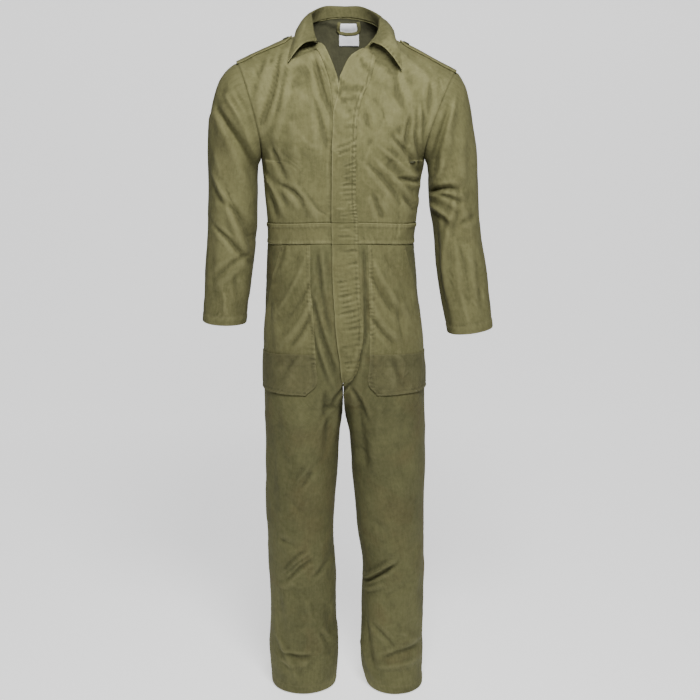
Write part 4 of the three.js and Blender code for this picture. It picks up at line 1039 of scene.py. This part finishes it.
def neckline(round_at):
    """The neckline from the right front end of the collar (-1) past the back centre to the left (1)."""
    points = np.zeros(round_at.shape + (3,))
    corner = 1 + math.acos(1 - 2 * COLLAR_END) / math.pi
    for side in SIDES:
        far = np.abs(round_at)
        behind = bodice_point(side, BACK, NECK_SHARE * np.minimum(far, 0.5) / 0.5, 2 + 0 * far)
        before = bodice_point(side, FRONT, 0 * far, mix(2, corner, np.maximum(far - 0.5, 0) / 0.5))
        here = np.where((far <= 0.5)[:, None], behind, before)
        mine = (round_at < 0) if side == "right" else (round_at >= 0)
        points = np.where(mine[:, None], here, points)
    return points


def through(places, at):
    """A smooth curve through places (first axis), at evenly counted positions."""
    last = len(places) - 1
    i = np.clip(at.astype(int), 0, last - 1)
    t = (at - i)[:, None, None]
    p0, p1 = places[np.maximum(i - 1, 0)], places[i]
    p2, p3 = places[i + 1], places[np.minimum(i + 2, last)]
    return 0.5 * (2 * p1 + (p2 - p0) * t + (2 * p0 - 5 * p1 + 4 * p2 - p3) * t ** 2
                  + (3 * p1 - p0 - 3 * p2 + p3) * t ** 3)


def collar(looks):
    round_at = np.linspace(-1, 1, 181)
    at = {name: read(COLLAR, "round", name, round_at) for name in COLLAR}
    foot = neckline(round_at)
    roll = joined(at["rollX"], at["rollY"], at["rollZ"])
    edge = joined(at["edgeX"], at["edgeY"], at["edgeZ"])
    up = unit(roll - foot)
    out = edge - foot
    out = unit(out - np.sum(out * up, axis=1, keepdims=True) * up)
    start = foot + up * COLLAR_FOOT
    turn_in = roll - 4 * up - out
    turn_out = roll - 4 * up + 7 * out
    fall = [mix(turn_out, edge, share) for share in (0.33, 0.67, 1)]
    arch = smooth((np.abs(round_at) - COLLAR_ARCH_FROM) / (1 - COLLAR_ARCH_FROM))
    lifted = arch[:, None] * np.array(COLLAR_ARCH, float)
    turn_out = turn_out + 0.35 * lifted
    places = np.stack([start, mix(start, turn_in, 0.5), turn_in, roll + 3 * out, turn_out,
                       fall[0] + 2 * out + 2 * up + lifted,
                       fall[1] + 2 * out + 2 * up + 0.75 * lifted, fall[2]])
    rows = np.concatenate([np.linspace(0, 2, 12), np.linspace(2, 4, 14)[1:], np.linspace(4, 7, 30)[1:]])
    panel = Panel(through(places, rows), (0, 60, 30))
    panel.height += 0.5 * unevenness(panel.grid)
    for away, along, seed in ((panel.from_end, panel.from_inner, 261),
                              (panel.from_inner, panel.from_start, 262),
                              (panel.from_outer, panel.from_start, 263)):
        panel.height += raised_edge(away, 0.4, 5, 2)
        panel.height += puckers(along, np.abs(away - 5), seed, spacing=9, depth=0.5, reach=7)
        panel.worn += beside(away, 1.8, 0.7)
    # Painted shade on the stand, the inner band at the back of the neck.
    panel.painted_shade += 0.9 * (1 - smooth((panel.from_start - 44) / 14))
    make_cloth("collar", panel, looks, rests_on=["cloth_back", "cloth_front_right", "cloth_front_left"],
               sewn=[("from_end", COLLAR_ROW), ("from_inner", COLLAR_ROW, (40, 6)),
                                    ("from_outer", COLLAR_ROW, (40, 6))])


def back_inside():
    """The back near the neck as depths over a net of x and z."""
    heights = np.linspace(1.45, 2, 60)
    columns_x = np.linspace(-34, 62, 49)
    lines = []
    for at_x in columns_x:
        side = "right" if at_x < 0 else "left"
        surface = bodice(side, BACK)
        lines.append(surface(across_at(surface, heights, abs(at_x), side), heights))

    def depth(x, z):
        at_z = np.array([np.interp(z, line[:, 2], line[:, 1]) for line in lines])
        return np.array([np.interp(x[k], columns_x, at_z[:, k]) for k in range(len(x))])

    return depth


def lay_inside(name, x, z, depth, lift, looks, sewn):
    """A small piece on the inside of the back, from the x and z of its grid."""
    grid = joined(x, depth(x.ravel(), z.ravel()).reshape(x.shape), z)
    panel = Panel(grid, CHEST_INSIDE)
    make_cloth(name, panel, looks, thickness=LABEL_CLOTH, lift=lift,
               rests_on=["cloth_back"], sewn=sewn)


def label(depth, looks):
    x, z = np.meshgrid(np.linspace(*LABEL_X, 20), np.linspace(*LABEL_Z, 24))
    panel_lift = -(CLOTH + LABEL_LAY + LABEL_CLOTH) + 0.5 * np.sin(x / 7 + z / 19)
    sewn = [(edge, 2) for edge in ("from_end", "from_inner", "from_outer")]
    lay_inside("label", x, z, depth, panel_lift, looks, sewn)


def hanger_loop(depth, looks):
    """A tape that hangs from the neck seam in a U, in front of the label."""
    corners = np.array(LOOP_PATH, float)
    at = np.linspace(0, len(corners) - 1, 61)
    line = through(corners[:, None, :], at)[:, 0]
    way = unit(np.gradient(line, axis=0))
    aside = np.stack([-way[:, 1], way[:, 0]], axis=1)
    across = np.linspace(-LOOP_TAPE / 2, LOOP_TAPE / 2, 5)
    places = line[:, None, :] + aside[:, None, :] * across[None, :, None]
    lift = -(CLOTH + LABEL_LAY + LAY + 2 * LABEL_CLOTH)
    lay_inside("hanger_loop", places[..., 0], places[..., 1], depth, lift, looks,
               [("from_inner", 1.6)])


class Value:
    """A shader value that can be added, scaled and mixed like a number."""

    def __init__(self, shader, socket):
        self.shader, self.socket = shader, socket

    def _maths(self, operation, *others):
        return self.shader.node("ShaderNodeMath", {"operation": operation}, [self, *others])

    def __add__(self, other):
        return self._maths("ADD", other)

    def __sub__(self, other):
        return self._maths("SUBTRACT", other)

    def __mul__(self, other):
        return self._maths("MULTIPLY", other)

    def __rsub__(self, other):
        return self.shader.number(other)._maths("SUBTRACT", self)

    __radd__ = __add__
    __rmul__ = __mul__

    def clipped(self, low=0.0, high=1.0):
        return self.shader.node("ShaderNodeClamp", {}, [self, low, high])


class Shader:
    """A material's nodes, each added by its type, its settings and what goes into it."""

    def __init__(self, name):
        self.material = bpy.data.materials.new(name)
        self.material.use_nodes = True
        self.tree = self.material.node_tree
        self.main = self.tree.nodes["Principled BSDF"]

    def join(self, socket, value):
        if isinstance(value, Value):
            self.tree.links.new(value.socket, socket)
        else:
            socket.default_value = value

    def node(self, kind, settings, inputs, output=0):
        node = self.tree.nodes.new(kind)
        for key, value in settings.items():
            setattr(node, key, value)
        pairs = inputs.items() if isinstance(inputs, dict) else enumerate(inputs)
        for key, value in pairs:
            self.join(node.inputs[key], value)
        return Value(self, node.outputs[output])

    def number(self, value):
        return self.node("ShaderNodeMath", {"operation": "ADD"}, [value, 0.0])

    def place(self):
        return self.node("ShaderNodeTexCoord", {}, {}, "Object")

    def noise(self, vector, scale, detail=3.0, roughness=0.55, distortion=0.0):
        return self.node("ShaderNodeTexNoise", {}, {"Vector": vector, "Scale": scale, "Detail": detail,
                                                    "Roughness": roughness, "Distortion": distortion}, "Fac")

    def stretched(self, vector, scale):
        return self.node("ShaderNodeMapping", {}, {"Vector": vector, "Scale": scale})

    def spread(self, value, low, high, to_low=0.0, to_high=1.0):
        return self.node("ShaderNodeMapRange", {}, [value, low, high, to_low, to_high])

    def painted(self, name):
        return self.node("ShaderNodeAttribute", {"attribute_name": name}, {}, "Fac")

    def blend(self, factor, first, second):
        return self.node("ShaderNodeMix", {"data_type": "RGBA"}, {0: factor, 6: first, 7: second}, 2)

    def colour(self, red, green, blue):
        """A colour given as screen values from 0 to 255."""
        def straight(v):
            v /= 255
            return v / 12.92 if v <= 0.04045 else ((v + 0.055) / 1.055) ** 2.4
        return (straight(red), straight(green), straight(blue), 1.0)

    def bump(self, height, distance, strength=1.0, normal=None):
        inputs = {"Height": height, "Distance": distance, "Strength": strength}
        if normal is not None:
            inputs["Normal"] = normal
        return self.node("ShaderNodeBump", {}, inputs)


def thread_cotton():
    s = Shader("sewing_thread")
    twist = s.noise(s.place(), 900.0, 2.0)
    s.join(s.main.inputs["Base Color"], s.blend(twist, s.colour(70, 66, 40), s.colour(112, 106, 70)))
    s.join(s.main.inputs["Roughness"], s.spread(twist, 0.3, 0.7, 0.7, 0.85))
    s.join(s.main.inputs["Normal"], s.bump(twist, 0.0001, 0.4))
    return s.material


def cotton(name, base, pale, dark, roughness=0.9, sheen=0.06, stain=0.0):
    """Washed cotton twill: uneven dye, pale worn crests, grooves darkened as painted shade, a diagonal weave
    and a soft nap.
    """
    s = Shader(name)
    base, pale, dark = s.colour(*base), s.colour(*pale), s.colour(*dark)
    place = s.place()
    weave = s.node("ShaderNodeUVMap", {"uv_map": "weave"}, {})
    clouds = s.noise(place, 6.0, 4.0, 0.6, 0.5)
    patches = s.noise(place, 24.0, 5.0, 0.62, 0.3)
    flecks = s.noise(place, 110.0, 3.0, 0.6)
    streaks = s.noise(s.stretched(weave, (240.0, 26.0, 1.0)), 1.0, 3.0)
    fibres = s.noise(s.stretched(weave, (1300.0, 700.0, 1.0)), 1.0, 2.0)
    tone = s.blend(s.spread(clouds, 0.36, 0.66), s.blend(0.22, base, pale), s.blend(0.55, base, dark))
    tone = s.blend(s.spread(patches, 0.46, 0.72, 0.0, 0.55), tone, s.blend(0.5, base, pale))
    tone = s.blend(s.spread(patches, 0.44, 0.3, 0.0, 0.5), tone, dark)
    stains = s.noise(place, 8.0, 4.0, 0.6, 0.8)
    tone = s.blend(s.spread(stains, 0.5, 0.68, 0.0, stain), tone, s.colour(94, 80, 50))
    worn = s.painted("worn") * s.spread(patches, 0.3, 0.7, 0.4, 1.3)
    tone = s.blend((worn * 0.85).clipped(), tone, pale)
    # Painted shade: the grooves and the marked places darkened toward the dark tone.
    tone = s.blend((s.painted("shade") * 0.9).clipped(0.0, 0.9), tone, dark)
    tone = s.blend(0.16, tone, s.blend(s.spread(flecks, 0.35, 0.65), dark, pale))
    tone = s.blend(0.13, tone, s.blend(s.spread(streaks, 0.3, 0.7), dark, pale))
    tone = s.blend(0.16, tone, s.blend(s.spread(fibres, 0.3, 0.7), dark, pale))
    s.join(s.main.inputs["Base Color"], tone)
    rough = s.spread(patches, 0.3, 0.7, roughness - 0.05, roughness + 0.06)
    s.join(s.main.inputs["Roughness"], rough.clipped())
    twill = s.node("ShaderNodeTexWave", {"wave_type": "BANDS", "bands_direction": "DIAGONAL"},
                   {"Vector": s.stretched(weave, (1.0, 1.0, 0.0)), "Scale": 330.0,
                    "Distortion": 0.6, "Detail": 1.0}, "Fac")
    bump = s.bump(s.noise(place, 20.0, 3.0, 0.5, 0.8), 0.0045, 0.6)
    bump = s.bump(s.noise(place, 62.0, 4.0, 0.6, 0.6), 0.0017, 0.6, bump)
    bump = s.bump(fibres, 0.00025, 0.5, bump)
    bump = s.bump(twill, 0.00012, 0.5, bump)
    s.join(s.main.inputs["Normal"], bump)
    s.main.inputs["Sheen Weight"].default_value = sheen
    s.main.inputs["Sheen Tint"].default_value = pale
    s.main.inputs["Sheen Roughness"].default_value = 0.5
    s.main.inputs["Specular IOR Level"].default_value = 0.2
    return s.material


def button_plastic():
    s = Shader("button_plastic")
    grain = s.noise(s.place(), 320.0, 3.0)
    tone = s.blend(s.spread(grain, 0.3, 0.7), s.colour(52, 54, 38), s.colour(70, 72, 52))
    s.join(s.main.inputs["Base Color"], tone)
    s.join(s.main.inputs["Roughness"], s.spread(grain, 0.3, 0.7, 0.35, 0.5))
    s.join(s.main.inputs["Normal"], s.bump(grain, 0.0001, 0.3))
    return s.material


def studio_paper():
    s = Shader("studio_paper")
    grain = s.noise(s.place(), 3.0, 2.0)
    s.join(s.main.inputs["Base Color"], s.blend(grain, s.colour(238, 238, 238), s.colour(243, 243, 243)))
    s.main.inputs["Roughness"].default_value = 0.95
    s.main.inputs["Emission Color"].default_value = (1.0, 1.0, 1.0, 1.0)
    s.main.inputs["Emission Strength"].default_value = 0.95
    return s.material


THREAD = thread_cotton()
olive = cotton("olive_cotton", (99, 98, 60), (138, 135, 95), (67, 66, 40), stain=0.15)
# The legs and the pocket patches take darker copies of the olive cotton: partly their own duller, browner
# cloth, partly painted shade for the light that falls off toward the hem.
olive_legs = cotton("olive_cotton_legs", (90, 90, 56), (123, 121, 84), (58, 58, 36), stain=0.5)
olive_patch = cotton("olive_cotton_patch", (84, 83, 52), (122, 119, 84), (58, 57, 36), stain=0.3)
reverse = cotton("olive_cotton_reverse", (70, 70, 52), (92, 91, 68), (50, 50, 36), 0.92, 0.04)
white = cotton("label_cloth", (240, 240, 243), (248, 248, 250), (222, 222, 224), 0.85, 0.04)

for side in SIDES:
    front(side, [olive, reverse])
    make_sleeve(side, [olive, reverse])
    waistband(f"waistband_{side}", [side], FRONT, [olive, reverse])
    leg(side, FRONT, [olive_legs, reverse])
    leg(side, BACK, [olive_legs, reverse])
    pocket(side, [olive, reverse], [olive_patch, reverse])
    strap(side, [olive, reverse])
back([olive, reverse])
waistband("waistband_back", ["right", "left"], BACK, [olive, reverse])
collar([olive, olive])
fly([olive, reverse])
button_stand([olive, reverse])
neck_depth = back_inside()
label(neck_depth, [white, white])
hanger_loop(neck_depth, [olive, olive])

plastic = button_plastic()
for side in SIDES:
    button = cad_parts[f"strap_button_{side}"]
    for slot_at in button.material_slots:
        slot_at.material = plastic

# A pale sweep of paper, two lamps and the camera. Sizes are in metres.
bpy.ops.object.select_all(action="DESELECT")
bpy.ops.mesh.primitive_plane_add(size=FLOOR_SIZE, location=(0, FLOOR_MIDDLE, FLOOR))
floor = bpy.context.object
floor.name = "studio_floor"
floor.data.materials.append(studio_paper())
floor.data.polygons[0].select = False
for vertex in floor.data.vertices:
    vertex.select = vertex.co.y > 2
for edge in floor.data.edges:
    edge.select = all(floor.data.vertices[v].co.y > 2 for v in edge.vertices)
bpy.ops.object.mode_set(mode="EDIT")
bpy.ops.mesh.select_mode(type="EDGE")
bpy.ops.mesh.extrude_region_move(TRANSFORM_OT_translate={"value": BACKDROP_RISE})
bpy.ops.object.mode_set(mode="OBJECT")
fold = floor.modifiers.new("sweep", "BEVEL")
fold.width, fold.segments, fold.angle_limit = BACKDROP_ROUNDING, 16, 0.5
bpy.ops.object.modifier_apply(modifier="sweep")
bpy.ops.object.shade_smooth()
bpy.ops.object.transform_apply(location=True, rotation=False, scale=False)


def area_light(name, place, target, size, power):
    data = bpy.data.lights.new(name, "AREA")
    data.shape, data.size, data.energy = "DISK", size, power
    light = bpy.data.objects.new(name, data)
    light.location = place
    light.rotation_euler = (Vector(target) - Vector(place)).to_track_quat("-Z", "Y").to_euler()
    bpy.context.collection.objects.link(light)


area_light("key", (0.2, -1.5, 0.95), (0, -0.1, -0.2), 0.7, 62)
area_light("fill", (-0.4, -4.0, 0.2), (0, 0, -0.7), 1.6, 5)

world = bpy.data.worlds.new("studio")
world.use_nodes = True
world.node_tree.nodes["Background"].inputs["Color"].default_value = (0.93, 0.95, 1.0, 1)
world.node_tree.nodes["Background"].inputs["Strength"].default_value = 0.12
bpy.context.scene.world = world

camera_data = bpy.data.cameras.new("camera")
camera_data.lens = SENSOR * PHOTO_FOCAL / PHOTO_WIDTH
camera_data.sensor_width = SENSOR
camera = bpy.data.objects.new("camera", camera_data)
camera.location = CAMERA_PLACE
camera.rotation_euler = (math.radians(90 - CAMERA_DIP), 0, 0)
bpy.context.collection.objects.link(camera)
bpy.context.scene.camera = camera
